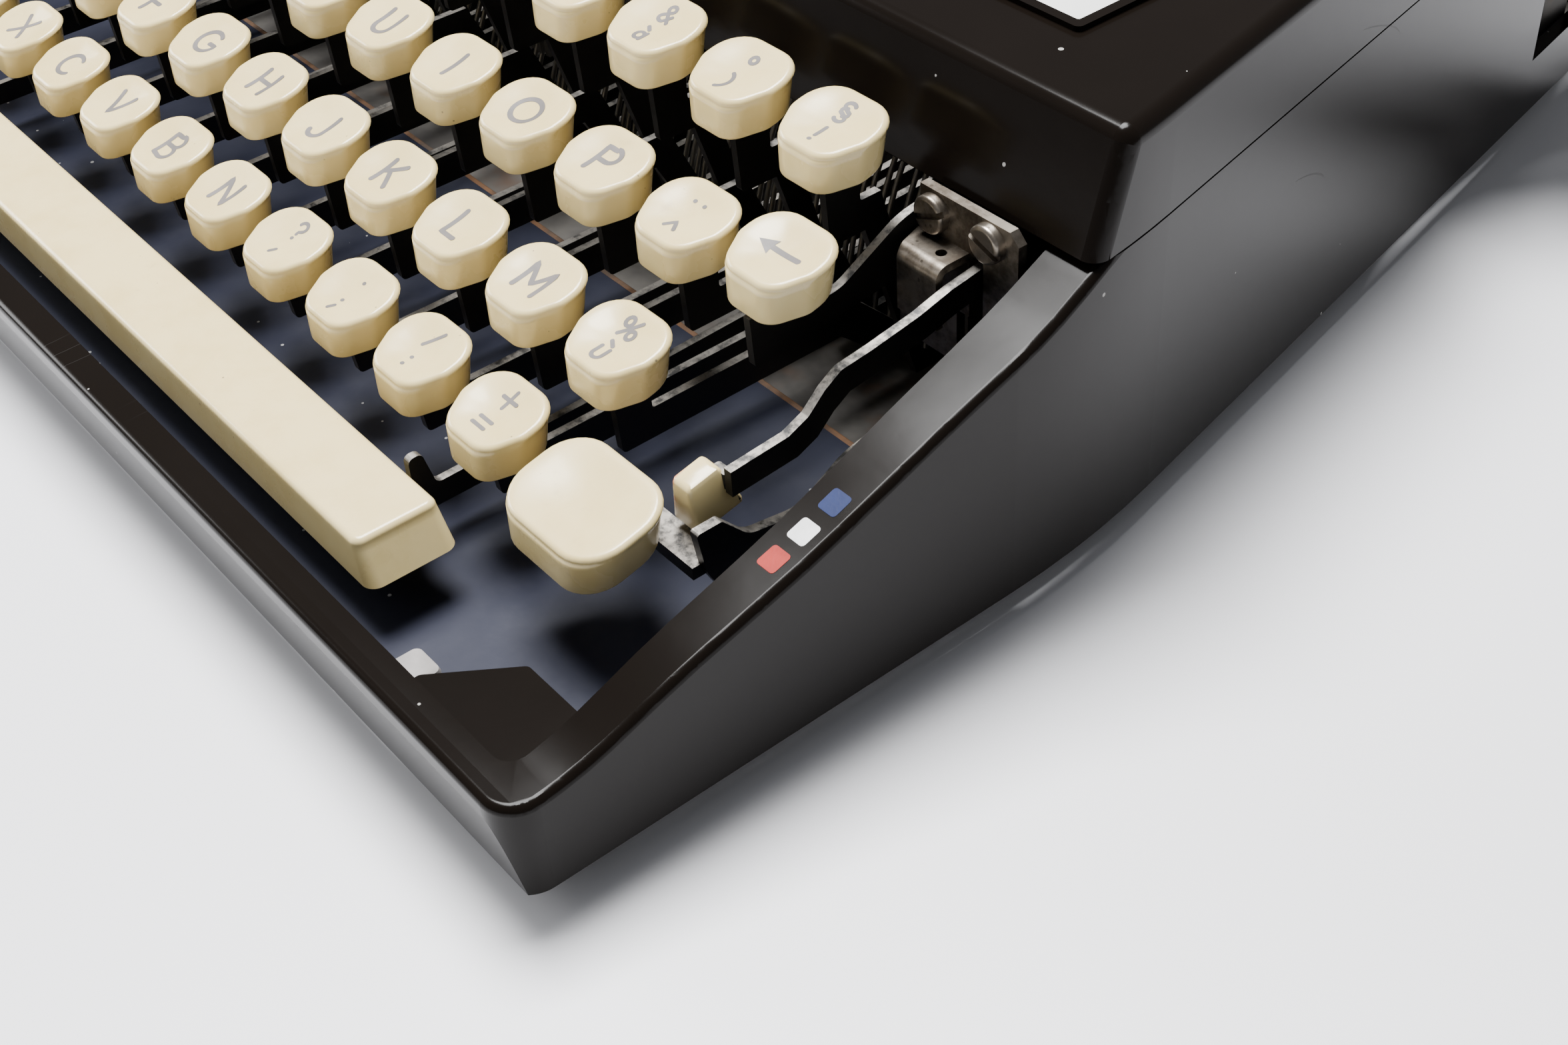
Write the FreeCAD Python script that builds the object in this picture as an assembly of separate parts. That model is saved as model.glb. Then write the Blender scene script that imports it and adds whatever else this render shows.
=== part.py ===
import FreeCAD, Part
import math
import os
from FreeCAD import Vector

# A flat portable typewriter with an AZERTY keyboard.
# Working frame, in millimetres: X to the right from the middle of the machine, Y to the rear
# from the front wall, Z up from the table. save() then centres the depth on the origin.

# ---- casing ------------------------------------------------------------------------------
BODY_WIDTH = 280.4
BODY_DEPTH = 272.0
SHELL_FLOOR = 5.4            # lower edge of the shell above the table
WALL = 2.5
FRONT_CORNER_RADIUS = 5.0
FRONT_UNDERCUT = 2.0         # how far the front wall's foot stands back
SIDE_BEND = 95.0             # where the sides turn inwards
SIDE_TAPER = 0.20            # inward run of each side per unit of depth behind the bend
SIDE_BEND_RADIUS = 150.0
REAR_CORNER_RADIUS = 10.0
FRONT_RIM_HEIGHT = 20.5
FRONT_RIM_WIDTH = 5.0
SIDE_RIM_FRONT_WIDTH = 6.5
SIDE_RIM_REAR_WIDTH = 9.6
RIM_END_SLOPE = 0.42
RIM_CURVE = [(24.0, 25.7), (46.0, 32.0), (68.0, 39.8), (88.0, 46.9)]
SEAM_HEIGHT = 51.0
SEAM_GAP = 0.3
REAR_SHOULDER_HEIGHT = 44.0  # side wall behind the cover, under the carriage ends
REAR_WALL_HEIGHT = 38.0
NOTCH_HEIGHT = 16.5          # side wall where the carriage passes
REAR_POST = 5.0
EDGE_ROUND = 1.2

# ---- cover over the ribbon spools --------------------------------------------------------
COVER_HEIGHT = 67.3
COVER_WALL = 2.2
COVER_FRONT = 93.8
COVER_LEAN = 5.9
COVER_REAR = 195.0
COVER_ROUND = 2.4
TYPE_OPENING_HALF_WIDTH = 62.0
TYPE_OPENING_FRONT = 106.0
LIP_DROP = 1.2
LIP_END_GAP = 12.0
BADGE_LENGTH = 44.0
BADGE_WIDTH = 13.0
BADGE_THICKNESS = 0.8
BADGE_BORDER = 1.6
BADGE_RIGHT_GAP = 25.0
BADGE_SETBACK = 15.0

# ---- floor of the keyboard, base and feet ------------------------------------------------
BASE_UNDERSIDE = 5.8
BASE_THICKNESS = 1.2
TRAY_THICKNESS = 1.4
TRAY_REAR = 83.0
FLOOR_CLEARANCE = 0.6
FOOT_RADIUS = 9.0
FOOT_SCREW_RADIUS = 3.2
FOOT_INSET_FRONT = 24.0
FOOT_INSET_REAR = 26.0
FOOT_INSET_SIDE = 18.0
POCKET_WIDTH = 24.0
POCKET_DEPTH = 18.0
POCKET_SLANT = 8.0
POCKET_HEIGHT = 17.3

# ---- keys --------------------------------------------------------------------------------
KEY_PITCH = 19.05
CAP_WIDTH = 15.1
CAP_DEPTH = 12.4
CAP_NOSE = 9.7               # width of a cap's front edge, before its corners are rounded
CAP_SHOULDER = -0.7          # front-to-back place where a cap's sides begin to draw in
CAP_REAR_CORNER = 5.2
CAP_NOSE_CORNER = 4.2
CAP_TILT = 13.0              # cap tops lean towards the typist
CAP_HEIGHT = 5.8
CAP_TUCK = 0.4               # how far the foot of a cap is drawn in all round
CAP_FOOT_FORWARD = 0.6
CAP_DISH = 0.6
CAP_EDGE = 0.8
BOSS_RADIUS = 2.6
BOSS_HEIGHT = 2.0
LEVER_THICKNESS = 1.3
LEVER_BAR = 5.0
POST_FRONT = 2.2
POST_REAR = 3.9
LEVER_DROP_START = 88.0
LEVER_DROP_RUN = 9.0
LEVER_BAND_LOW = 13.0
LEVER_BAND_HIGH = 18.0
ROD_RADIUS = 2.0
LEVER_CEILING = 22.6         # guides and bridges stay above this where levers pass
RUNNING_CLEARANCE = 0.05
EYE_RADIUS = 4.0
# name, keys, front-to-back place, height of the cap tops, shift to the right of the front
# row's end key, underside of the level part of the levers
ROWS = {
    "bottom": (10, 36.4, 29.5, 0.4, 15.8),
    "home": (11, 50.6, 39.3, 10.05, 20.9),
    "upper": (11, 67.1, 48.8, 4.9, 30.2),
    "number": (11, 83.4, 60.6, 16.2, 42.0),
}
RIGHT_HAND_KEYS = {
    "bottom": ["c", "v", "b", "n", "question", "semicolon", "slash", "equals"],
    "home": ["g", "h", "j", "k", "l", "m", "percent"],
    "upper": ["u", "i", "o", "p", "circumflex"],
    "number": ["zero", "degree", "section"],
}
LEFT_HAND_GROUPS = {
    "left_lower_keys": ["bottom", "home"],
    "left_upper_keys": ["upper"],
    "left_number_keys": ["number"],
}
FRONT_ROW_END = (ROWS["bottom"][0] - 1) / 2 * KEY_PITCH

# ---- space bar, shift, backspace and ribbon selector -------------------------------------
SPACE_HALF_LENGTH = 89.1
SPACE_FRONT = 11.3
SPACE_DEPTH = 13.0
SPACE_TOP = 22.5
SPACE_HEIGHT = 7.0
SPACE_CORNER = 1.6
SPACE_DRAFT = 0.5
SPACE_END_DRAFT = 2.6
SPACE_EDGE = 1.0
SPACE_ARM_OFFSET = 6.3       # an arm's place to the left of a front-row lever
SHIFT_X = FRONT_ROW_END + 23.2
SHIFT_SETBACK = 34.5
SHIFT_CAP = (22.0, 15.6)
SHIFT_CORNER = 6.2
SHIFT_PLATE_X = FRONT_ROW_END + 37.6
SIDE_PIVOT = (150.0, 24.0)   # front-to-back place and height of the shift pivots
LOCK_PLATE_INSET = 5.0
LOCK_CAP_SMALLER = 1.4
BACKSPACE_RISE = 3.0
BACKSPACE_LEVER_TOP = 49.0
BACKSPACE_PIVOT = (150.0, 40.0)
SELECTOR_X = FRONT_ROW_END + 35.5
SELECTOR_SETBACK = 46.7
SELECTOR_THICKNESS = 1.4
SELECTOR_EDGE = [(57.9, 33.9), (61.3, 35.3), (64.2, 38.0), (67.0, 39.7), (72.1, 40.2),
                 (80.2, 41.4), (86.0, 42.8)]
SELECTOR_DEPTH = 4.0
SELECTOR_TILT = 12.0
BRACKET_WIDTH = 9.4
BRACKET_TOP = 45.2
BRACKET_FRONT = 85.0
BRACKET_DROP = 9.6
PLATE_FACE = 91.0
PLATE_TOP = 51.8
PLATE_DEPTH = 16.8
PLATE_WIDTH = 18.4
PLATE_THICKNESS = 1.5
SCREW_PLACES = [(-7.9, 48.5, -23.5), (2.6, 48.8, 19.0)]     # offset, height, turn of the slot
SCREW_HEAD_RADIUS = 2.8

# ---- frame and type basket ---------------------------------------------------------------
FRAME_X = 104.0
FRAME_THICKNESS = 2.0
FRAME_FRONT = 104.0
PLATEN_RADIUS = 15.0
PLATEN_TO_REAR = 43.0
PLATEN_HEIGHT = 66.0
TYPE_BAR_COUNT = 42
TYPE_BAR_THICKNESS = 1.1
TYPE_BAR_DEPTH = 4.0
SEGMENT_RADIUS = 37.0        # of the circle of type-bar pivots
SEGMENT_SPREAD = 72.0        # half angle, from straight down
SEGMENT_THICKNESS = 8.0
SEGMENT_TO_PRINT = 51.0
SPOOL_X = 80.0
SPOOL_RADIUS = 20.0
SPOOL_HEIGHT = 14.0
SPOOL_BASE = 48.5
SHELF_HEIGHT = 46.0
RIBBON_HEIGHT = 12.0
RIBBON_THICKNESS = 0.4

# ---- carriage ----------------------------------------------------------------------------
PLATEN_HALF_LENGTH = 116.0
KNOB_RADIUS = 14.0
KNOB_LENGTH = 16.0
END_PLATE_THICKNESS = 2.5
AXLE_RADIUS = 3.0
PIN_RADIUS = 1.5
KNOB_GAP = 2.4               # room beside the end plate for the paper release lever
RAIL_WIDTH = 8.0
RAIL_BASE = 28.5
RAIL_HEIGHT = 5.5
RAIL_CLEARANCE = 0.3
FEED_ROLLER_RADIUS = 3.0
PAPER_TABLE_TOP = 92.0
DRUM_RADIUS = 14.0

# ---- places worked out from the sizes above ----------------------------------------------
HALF_WIDTH = BODY_WIDTH / 2
BASE_TOP = BASE_UNDERSIDE + BASE_THICKNESS
TRAY_TOP = BASE_TOP + TRAY_THICKNESS
PLATEN_Y = BODY_DEPTH - PLATEN_TO_REAR
PRINT_Y = PLATEN_Y - PLATEN_RADIUS
SEGMENT_Y = PRINT_Y - SEGMENT_TO_PRINT
FULCRUM_Y = SEGMENT_Y + 23.0
FULCRUM_Z = 18.0
RAIL_Y = PLATEN_Y + 15.0
NOTCH_FRONT = PLATEN_Y + 1.2
CARRIAGE_HALF = PLATEN_HALF_LENGTH + 3.0
ROD_END = FRAME_X + FRAME_THICKNESS


# ---- drawing helpers ---------------------------------------------------------------------
def outline(points, radii=0.0):
    """Closed wire in the XY plane through the points, its corners rounded by tangent arcs."""
    count = len(points)
    if not isinstance(radii, (list, tuple)):
        radii = [radii] * count
    edges = []
    corners = []
    for i, (x, y) in enumerate(points):
        here = Vector(x, y, 0)
        back = Vector(*points[i - 1], 0) - here
        ahead = Vector(*points[(i + 1) % count], 0) - here
        back.normalize()
        ahead.normalize()
        half = back.getAngle(ahead) / 2
        if radii[i] <= 0 or abs(half - math.pi / 2) < 1e-6:
            corners.append((here, None, here))
            continue
        reach = radii[i] / math.tan(half)
        middle = back + ahead
        middle.normalize()
        crown = here + middle * (radii[i] / math.sin(half) - radii[i])
        corners.append((here + back * reach, crown, here + ahead * reach))
    for i, (start, crown, end) in enumerate(corners):
        if crown is not None:
            edges.append(Part.Arc(start, crown, end).toShape())
        following = corners[(i + 1) % count][0]
        if (following - end).Length > 1e-5:
            edges.append(Part.LineSegment(end, following).toShape())
    return Part.Wire(edges)


def slab(points, low, high, radii=0.0, holes=()):
    """Flat piece drawn in plan: points are (x, y), from height low to height high."""
    piece = Part.Face(outline(points, radii)).extrude(Vector(0, 0, high - low))
    piece.translate(Vector(0, 0, low))
    for x, y, radius in holes:
        piece = piece.cut(disc(radius, x, y, low - 1, high + 1))
    return piece


def side_plate(points, left, thickness, radii=0.0, holes=()):
    """Upright piece drawn from the side: points are (y, z), from x = left to the right."""
    piece = slab(points, left, left + thickness, radii, holes)
    piece.rotate(Vector(0, 0, 0), Vector(1, 1, 1), 120)
    return piece


def block(x0, x1, y0, y1, z0, z1):
    return Part.makeBox(x1 - x0, y1 - y0, z1 - z0, Vector(x0, y0, z0))


def rod(radius, x0, x1, y, z):
    """Round bar along X."""
    return Part.makeCylinder(radius, x1 - x0, Vector(x0, y, z), Vector(1, 0, 0))


def disc(radius, x, y, z0, z1):
    """Round piece standing along Z."""
    return Part.makeCylinder(radius, z1 - z0, Vector(x, y, z0))


def mirrored(piece):
    """The same piece on the other side of the machine."""
    return piece.mirror(Vector(0, 0, 0), Vector(1, 0, 0))


def rectangle(x0, x1, y0, y1):
    return [(x0, y0), (x1, y0), (x1, y1), (x0, y1)]


def save(node, *pieces):
    """Centre the depth on the origin and write one STEP file of separate solids."""
    solids = [solid for piece in pieces for solid in piece.Solids]
    group = solids[0] if len(solids) == 1 else Part.makeCompound(solids)
    group = group.copy()
    group.translate(Vector(0, -BODY_DEPTH / 2, 0))
    group.exportStep("parts/" + node + ".step")


# ---- casing ------------------------------------------------------------------------------
def side_at(y):
    """Half width of the casing at a distance from the front."""
    return HALF_WIDTH - SIDE_TAPER * max(0.0, y - SIDE_BEND)


def casing_outline(inset):
    """Plan of the casing, drawn in from its outer face by inset."""
    rear = side_at(BODY_DEPTH)
    points = [(-HALF_WIDTH, 0), (HALF_WIDTH, 0), (HALF_WIDTH, SIDE_BEND), (rear, BODY_DEPTH),
              (-rear, BODY_DEPTH), (-HALF_WIDTH, SIDE_BEND)]
    wire = outline(points, [FRONT_CORNER_RADIUS, FRONT_CORNER_RADIUS, SIDE_BEND_RADIUS,
                            REAR_CORNER_RADIUS, REAR_CORNER_RADIUS, SIDE_BEND_RADIUS])
    return wire.makeOffset2D(-inset) if inset else wire


def casing_block(inset, low, high):
    block_face = Part.Face(casing_outline(inset))
    block_face.translate(Vector(0, 0, low))
    return block_face.extrude(Vector(0, 0, high - low))


def under_rim(drop):
    """Everything below the rim line, lowered by drop: the profile of the casing's top."""
    start = Vector(0, 2.5, FRONT_RIM_HEIGHT - drop)
    curve = [Vector(0, y, z - drop) for y, z in RIM_CURVE]
    end = Vector(0, COVER_FRONT + 2.5, SEAM_HEIGHT - SEAM_GAP - drop)
    slope = Part.BSplineCurve()
    slope.interpolate(Points=[start] + curve + [end], InitialTangent=Vector(0, 1, 0),
                      FinalTangent=Vector(0, 1, RIM_END_SLOPE))
    flat = [Vector(0, COVER_REAR, end.z), Vector(0, COVER_REAR + 4, REAR_SHOULDER_HEIGHT - drop),
            Vector(0, NOTCH_FRONT, REAR_SHOULDER_HEIGHT - drop),
            Vector(0, NOTCH_FRONT, NOTCH_HEIGHT - drop),
            Vector(0, BODY_DEPTH - REAR_POST, NOTCH_HEIGHT - drop),
            Vector(0, BODY_DEPTH - REAR_POST, REAR_WALL_HEIGHT - drop),
            Vector(0, BODY_DEPTH + 5, REAR_WALL_HEIGHT - drop), Vector(0, BODY_DEPTH + 5, -5),
            Vector(0, -5, -5), Vector(0, -5, FRONT_RIM_HEIGHT - drop)]
    corners = [end] + flat + [start]
    edges = [slope.toShape()]
    edges += [Part.LineSegment(a, b).toShape() for a, b in zip(corners, corners[1:])]
    face = Part.Face(Part.Wire(edges))
    face.translate(Vector(-HALF_WIDTH - 5, 0, 0))
    return face.extrude(Vector(BODY_WIDTH + 10, 0, 0))


def corner_pocket():
    """Raised black floor in a front corner of the keyboard well."""
    inner = HALF_WIDTH - WALL + 0.5
    left = inner - POCKET_WIDTH - 4
    points = [(left, WALL - 0.5), (inner, WALL - 0.5), (inner, POCKET_DEPTH),
              (left + POCKET_SLANT, POCKET_DEPTH), (left, FRONT_RIM_WIDTH + 2)]
    return slab(points, TRAY_TOP, POCKET_HEIGHT, [0, 0, 0, 1.0, 1.0])


def body_shell():
    outer = casing_block(0, SHELL_FLOOR, SEAM_HEIGHT).common(under_rim(0))
    wedge = side_plate([(-1, SHELL_FLOOR - 1), (FRONT_UNDERCUT, SHELL_FLOOR - 1),
                        (0, FRONT_RIM_HEIGHT - 3), (-1, FRONT_RIM_HEIGHT - 3)],
                       -HALF_WIDTH - 1, BODY_WIDTH + 2)
    outer = outer.cut(wedge)
    rim_edges = [edge for edge in outer.Edges if is_rim_edge(edge)]
    outer = outer.makeFillet(EDGE_ROUND, rim_edges)
    hollow = casing_block(WALL, 0, SEAM_HEIGHT + 5)
    hollow = hollow.cut(block(-HALF_WIDTH, HALF_WIDTH, -1, FRONT_UNDERCUT + WALL, 0, SEAM_HEIGHT))
    hollow_low = hollow.common(under_rim(WALL))
    hollow_rear = hollow.common(block(-HALF_WIDTH, HALF_WIDTH, SIDE_BEND + 4,
                                      BODY_DEPTH, 0, SEAM_HEIGHT + 5))
    well_front = HALF_WIDTH - SIDE_RIM_FRONT_WIDTH
    well_rear = HALF_WIDTH - SIDE_RIM_REAR_WIDTH
    well = slab([(-well_front, FRONT_RIM_WIDTH), (well_front, FRONT_RIM_WIDTH),
                 (well_rear, SIDE_BEND + 6), (-well_rear, SIDE_BEND + 6)], 0, SEAM_HEIGHT + 5,
                [3.0, 3.0, 0, 0])
    shell = outer.cut(hollow_low).cut(hollow_rear).cut(well)
    pocket = corner_pocket()
    post_x = side_at(BODY_DEPTH) - REAR_CORNER_RADIUS - WALL
    inside = BODY_DEPTH - WALL
    post = block(post_x - 8, post_x, inside - 7, inside + 0.5, BASE_TOP, BASE_TOP + 14)
    return shell.fuse([pocket, mirrored(pocket), post, mirrored(post)]).removeSplitter()


def is_rim_edge(edge):
    """True for the outer top edges of the front and side rims."""
    box = edge.BoundBox
    on_side = box.XLength < 1.0 and max(box.XMax, -box.XMin) > HALF_WIDTH - 0.5
    on_front = box.YMin < 0.01 and box.YMax < FRONT_CORNER_RADIUS + 0.01
    along_top = box.ZMin > FRONT_RIM_HEIGHT - 1.5 and box.ZMax < SEAM_HEIGHT - SEAM_GAP + 0.01
    return (on_side or on_front) and along_top and box.YMax < COVER_FRONT + 3


def cover_form(inset):
    """Solid outer form of the cover, drawn in on every face but the open underside."""
    low = SEAM_HEIGHT - inset * 2
    top = COVER_HEIGHT - inset
    lean = COVER_LEAN / (COVER_HEIGHT - SEAM_HEIGHT)
    front = COVER_FRONT + inset * 1.05
    profile = [(front - lean * (SEAM_HEIGHT - low), low), (COVER_REAR - inset, low),
               (COVER_REAR - inset, top), (front + lean * (top - SEAM_HEIGHT), top)]
    rounds = [0, 0, COVER_ROUND, COVER_ROUND] if inset == 0 else 0.0
    across = side_plate(profile, -HALF_WIDTH - 1, BODY_WIDTH + 2, rounds)
    return casing_block(inset, low, COVER_HEIGHT + 1).common(across)


def top_cover():
    form = cover_form(0)
    top_edges = [edge for edge in form.Edges if edge.BoundBox.ZMin > COVER_HEIGHT - 0.01
                 and abs(edge.BoundBox.XMin) > TYPE_OPENING_HALF_WIDTH
                 and edge.BoundBox.YLength > 5]
    form = form.makeFillet(COVER_ROUND, top_edges)
    cover = form.cut(cover_form(COVER_WALL))
    wide = TYPE_OPENING_HALF_WIDTH
    opening = slab(rectangle(-wide, wide, TYPE_OPENING_FRONT, COVER_REAR + 5),
                   SEAM_HEIGHT - 5, COVER_HEIGHT + 5, [30.0, 30.0, 0, 0])
    cover = cover.cut(opening)
    lip_end = HALF_WIDTH - LIP_END_GAP
    lip = block(-lip_end, lip_end, COVER_FRONT + 1.2, COVER_FRONT + 2.8,
                SEAM_HEIGHT - LIP_DROP, SEAM_HEIGHT + 1)
    border = slab(badge_rectangle(BADGE_BORDER), COVER_HEIGHT - 0.5,
                  COVER_HEIGHT + BADGE_THICKNESS, 1.0)
    border = border.cut(slab(badge_rectangle(0), COVER_HEIGHT, COVER_HEIGHT + 2, 0.4))
    return cover.fuse([lip, border]).removeSplitter()


def badge_rectangle(grow):
    right = HALF_WIDTH - BADGE_RIGHT_GAP
    front = COVER_FRONT + COVER_LEAN + BADGE_SETBACK
    return rectangle(right - BADGE_LENGTH - grow, right + grow,
                     front - grow, front + BADGE_WIDTH + grow)


def floor_sheet(front, rear, low, high):
    """Flat sheet that fills the casing from front to rear."""
    sheet = casing_block(WALL + FLOOR_CLEARANCE, low, high)
    return sheet.common(block(-HALF_WIDTH, HALF_WIDTH, front, rear, low, high))


def drum_place():
    return -SPOOL_X + 6, RAIL_Y - 2


def base_plate():
    front = FRONT_UNDERCUT + WALL + FLOOR_CLEARANCE
    plate = floor_sheet(front, BODY_DEPTH, BASE_UNDERSIDE, BASE_TOP)
    drum_x, drum_y = drum_place()
    stud = disc(ROD_RADIUS, drum_x, drum_y, BASE_TOP - 0.5, BASE_TOP + 14)
    return plate.fuse(stud)


def keyboard_tray():
    front = FRONT_UNDERCUT + WALL + FLOOR_CLEARANCE
    sheet = floor_sheet(front, TRAY_REAR, BASE_TOP, TRAY_TOP)
    return sheet


def rubber_feet():
    feet = []
    for y in (FOOT_INSET_FRONT, BODY_DEPTH - FOOT_INSET_REAR):
        x = side_at(y) - FOOT_INSET_SIDE
        foot = Part.makeCone(FOOT_RADIUS - 1, FOOT_RADIUS, BASE_UNDERSIDE, Vector(x, y, 0))
        foot = foot.cut(disc(FOOT_SCREW_RADIUS, x, y, -1, BASE_UNDERSIDE / 2))
        feet += [foot, mirrored(foot)]
    return feet


# ---- keys --------------------------------------------------------------------------------
def drafted(plan, height, edge, lean=0.0, forward=0.0):
    """Moulded block with a softly rounded top, which leans forward over its foot.
    The plan's argument is 0 at the top and 1 at the foot."""
    centre = Vector(0, 0, 0)
    across = Vector(1, 0, 0)
    foot = plan(1).rotated(centre, across, lean)
    foot.translate(Vector(0, -forward, -height))
    form = Part.makeLoft([foot, plan(0).rotated(centre, across, lean)], True, True)
    upright = FreeCAD.Rotation(across, lean).multVec(Vector(0, 0, 1))
    top_edges = [each for each in form.Edges
                 if all(abs(end.Point.dot(upright)) < 0.01 for end in each.Vertexes)]
    return form.makeFillet(edge, top_edges)


def dished(cap, radius):
    """The leaning cap with a shallow round hollow in its top."""
    dish_radius = radius ** 2 / (2 * CAP_DISH)
    upright = FreeCAD.Rotation(Vector(1, 0, 0), CAP_TILT).multVec(Vector(0, 0, 1))
    return cap.cut(Part.makeSphere(dish_radius, upright * (dish_radius - CAP_DISH)))


def key_cap(smaller=0.0):
    """Cap that is square-shouldered at the rear, narrower in front and drawn in at the foot."""
    def plan(share):
        grow = -CAP_TUCK * share - smaller / 2
        half = CAP_WIDTH / 2 + grow
        nose = CAP_NOSE / 2 + grow
        front = -CAP_DEPTH / 2 - grow
        rear = CAP_DEPTH / 2 + grow
        points = [(nose, front), (half, CAP_SHOULDER), (half, rear),
                  (-half, rear), (-half, CAP_SHOULDER), (-nose, front)]
        nose_corner = CAP_NOSE_CORNER + grow
        rear_corner = CAP_REAR_CORNER + grow
        return outline(points, [nose_corner, 3.0, rear_corner, rear_corner, 3.0, nose_corner])
    cap = drafted(plan, CAP_HEIGHT, CAP_EDGE, CAP_TILT, CAP_FOOT_FORWARD)
    return dished(cap, (CAP_DEPTH - smaller) / 2 - CAP_EDGE)


def shift_cap():
    def plan(share):
        x = SHIFT_CAP[0] / 2 - CAP_TUCK * share
        y = SHIFT_CAP[1] / 2 - CAP_TUCK * share
        return outline(rectangle(-x, x, -y, y), SHIFT_CORNER - CAP_TUCK * share)
    cap = drafted(plan, CAP_HEIGHT, CAP_EDGE, CAP_TILT, CAP_FOOT_FORWARD)
    return dished(cap, SHIFT_CAP[1] / 2 - CAP_EDGE)


def boss(cap, x, y, top):
    """Short round foot between a placed cap and the post under it."""
    post_top = top - CAP_HEIGHT - BOSS_HEIGHT
    return disc(BOSS_RADIUS, x, y, post_top, top - CAP_HEIGHT + BOSS_HEIGHT).cut(cap)


def key_lever(x, y, top, floor):
    """Flat steel lever from the post under a cap back to its eye on the fulcrum rod."""
    post_top = top - CAP_HEIGHT - BOSS_HEIGHT
    drop_end = LEVER_DROP_START + LEVER_DROP_RUN
    eye = FULCRUM_Y + EYE_RADIUS
    points = [(y - POST_FRONT, post_top), (y - POST_FRONT + 0.6, floor),
              (LEVER_DROP_START, floor), (drop_end, LEVER_BAND_LOW),
              (eye, FULCRUM_Z - EYE_RADIUS), (eye, FULCRUM_Z + EYE_RADIUS),
              (drop_end + 2, LEVER_BAND_HIGH), (LEVER_DROP_START + 3, floor + LEVER_BAR),
              (y + POST_REAR, floor + LEVER_BAR), (y + POST_REAR, post_top)]
    eye_round = EYE_RADIUS - 0.1
    return side_plate(points, x - LEVER_THICKNESS / 2, LEVER_THICKNESS,
                      [0, 0.8, 0, 0, eye_round, eye_round, 0, 0, 0.4, 0],
                      [(FULCRUM_Y, FULCRUM_Z, ROD_RADIUS + RUNNING_CLEARANCE)])


def key(cap, x, y, top, floor):
    placed = cap.copy()
    placed.translate(Vector(x, y, top))
    return [placed, boss(placed, x, y, top), key_lever(x, y, top, floor)]


def row_places(row):
    count, y, top, shift, floor = ROWS[row]
    return [(FRONT_ROW_END + shift - (count - 1 - i) * KEY_PITCH, y, top, floor)
            for i in range(count)]


def save_keys():
    cap = key_cap()
    for row, names in RIGHT_HAND_KEYS.items():
        places = row_places(row)[-len(names):]
        for name, place in zip(names, places):
            save("key_" + name, *key(cap, *place))
    for node, rows in LEFT_HAND_GROUPS.items():
        pieces = []
        for row in rows:
            for place in row_places(row)[:-len(RIGHT_HAND_KEYS[row])]:
                pieces += key(cap, *place)
        save(node, *pieces)


def space_arm_places():
    right = FRONT_ROW_END - SPACE_ARM_OFFSET
    return [right, right - 8 * KEY_PITCH]


def space_bar():
    bottom = SPACE_TOP - SPACE_HEIGHT
    rear = SPACE_FRONT + SPACE_DEPTH

    def plan(share):
        x = SPACE_HALF_LENGTH + SPACE_END_DRAFT * share
        y = SPACE_DEPTH / 2 + SPACE_DRAFT * share
        return outline(rectangle(-x, x, -y, y), SPACE_CORNER + SPACE_DRAFT * share)
    bar = drafted(plan, SPACE_HEIGHT, SPACE_EDGE)
    bar.translate(Vector(0, SPACE_FRONT + SPACE_DEPTH / 2, SPACE_TOP))
    pieces = [bar]
    eye = FULCRUM_Y + EYE_RADIUS
    eye_round = EYE_RADIUS - 0.1
    arm = [(SPACE_FRONT + 4, bottom), (SPACE_FRONT + 4, bottom - 1.9),
           (eye, FULCRUM_Z - EYE_RADIUS), (eye, FULCRUM_Z + EYE_RADIUS),
           (rear + 30, LEVER_BAND_HIGH - 0.2), (rear + 4.4, LEVER_BAND_HIGH - 0.6),
           (rear + 3.0, SPACE_TOP + 0.8), (rear + 0.8, SPACE_TOP + 0.8), (rear + 0.8, bottom)]
    for x in space_arm_places():
        pieces.append(side_plate(arm, x - LEVER_THICKNESS / 2, LEVER_THICKNESS,
                                 [0, 0.5, eye_round, eye_round, 4.0, 1.2, 1.0, 1.0, 0],
                                 [(FULCRUM_Y, FULCRUM_Z, ROD_RADIUS + RUNNING_CLEARANCE)]))
    return pieces


def shift_key():
    """Right shift key: plain cap, foot tab and the long plate that runs beside the wall."""
    top = ROWS["bottom"][2]
    cap = shift_cap()
    cap.translate(Vector(SHIFT_X, SHIFT_SETBACK, top))
    under = top - CAP_HEIGHT
    tab = block(SHIFT_X - 4, SHIFT_PLATE_X + 0.5, SHIFT_SETBACK + 5.5, SHIFT_SETBACK + 10,
                under - 2, under)
    front = SHIFT_SETBACK + 6.0
    pivot_y, pivot_z = SIDE_PIVOT
    plate = [(front, top), (front + 1, under - 1), (front + 4, under - 7), (front + 30, under - 6),
             (pivot_y, pivot_z - 4), (pivot_y + 4, pivot_z - 4), (pivot_y + 4, pivot_z + 4),
             (pivot_y, pivot_z + 4), (front + 45, top + 2), (front + 25, top - 1.5),
             (front + 17, top - 6), (front + 8, top - 4.5), (front + 4, top)]
    hole = [(pivot_y, pivot_z, ROD_RADIUS + RUNNING_CLEARANCE)]
    arm = side_plate(plate, SHIFT_PLATE_X, LEVER_THICKNESS + 0.2,
                     [0.5, 6, 5, 20, 0, 3.9, 3.9, 0, 20, 10, 6, 4, 0.5], hole)
    joined = arm.fuse(tab)
    return [cap, joined]


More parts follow.
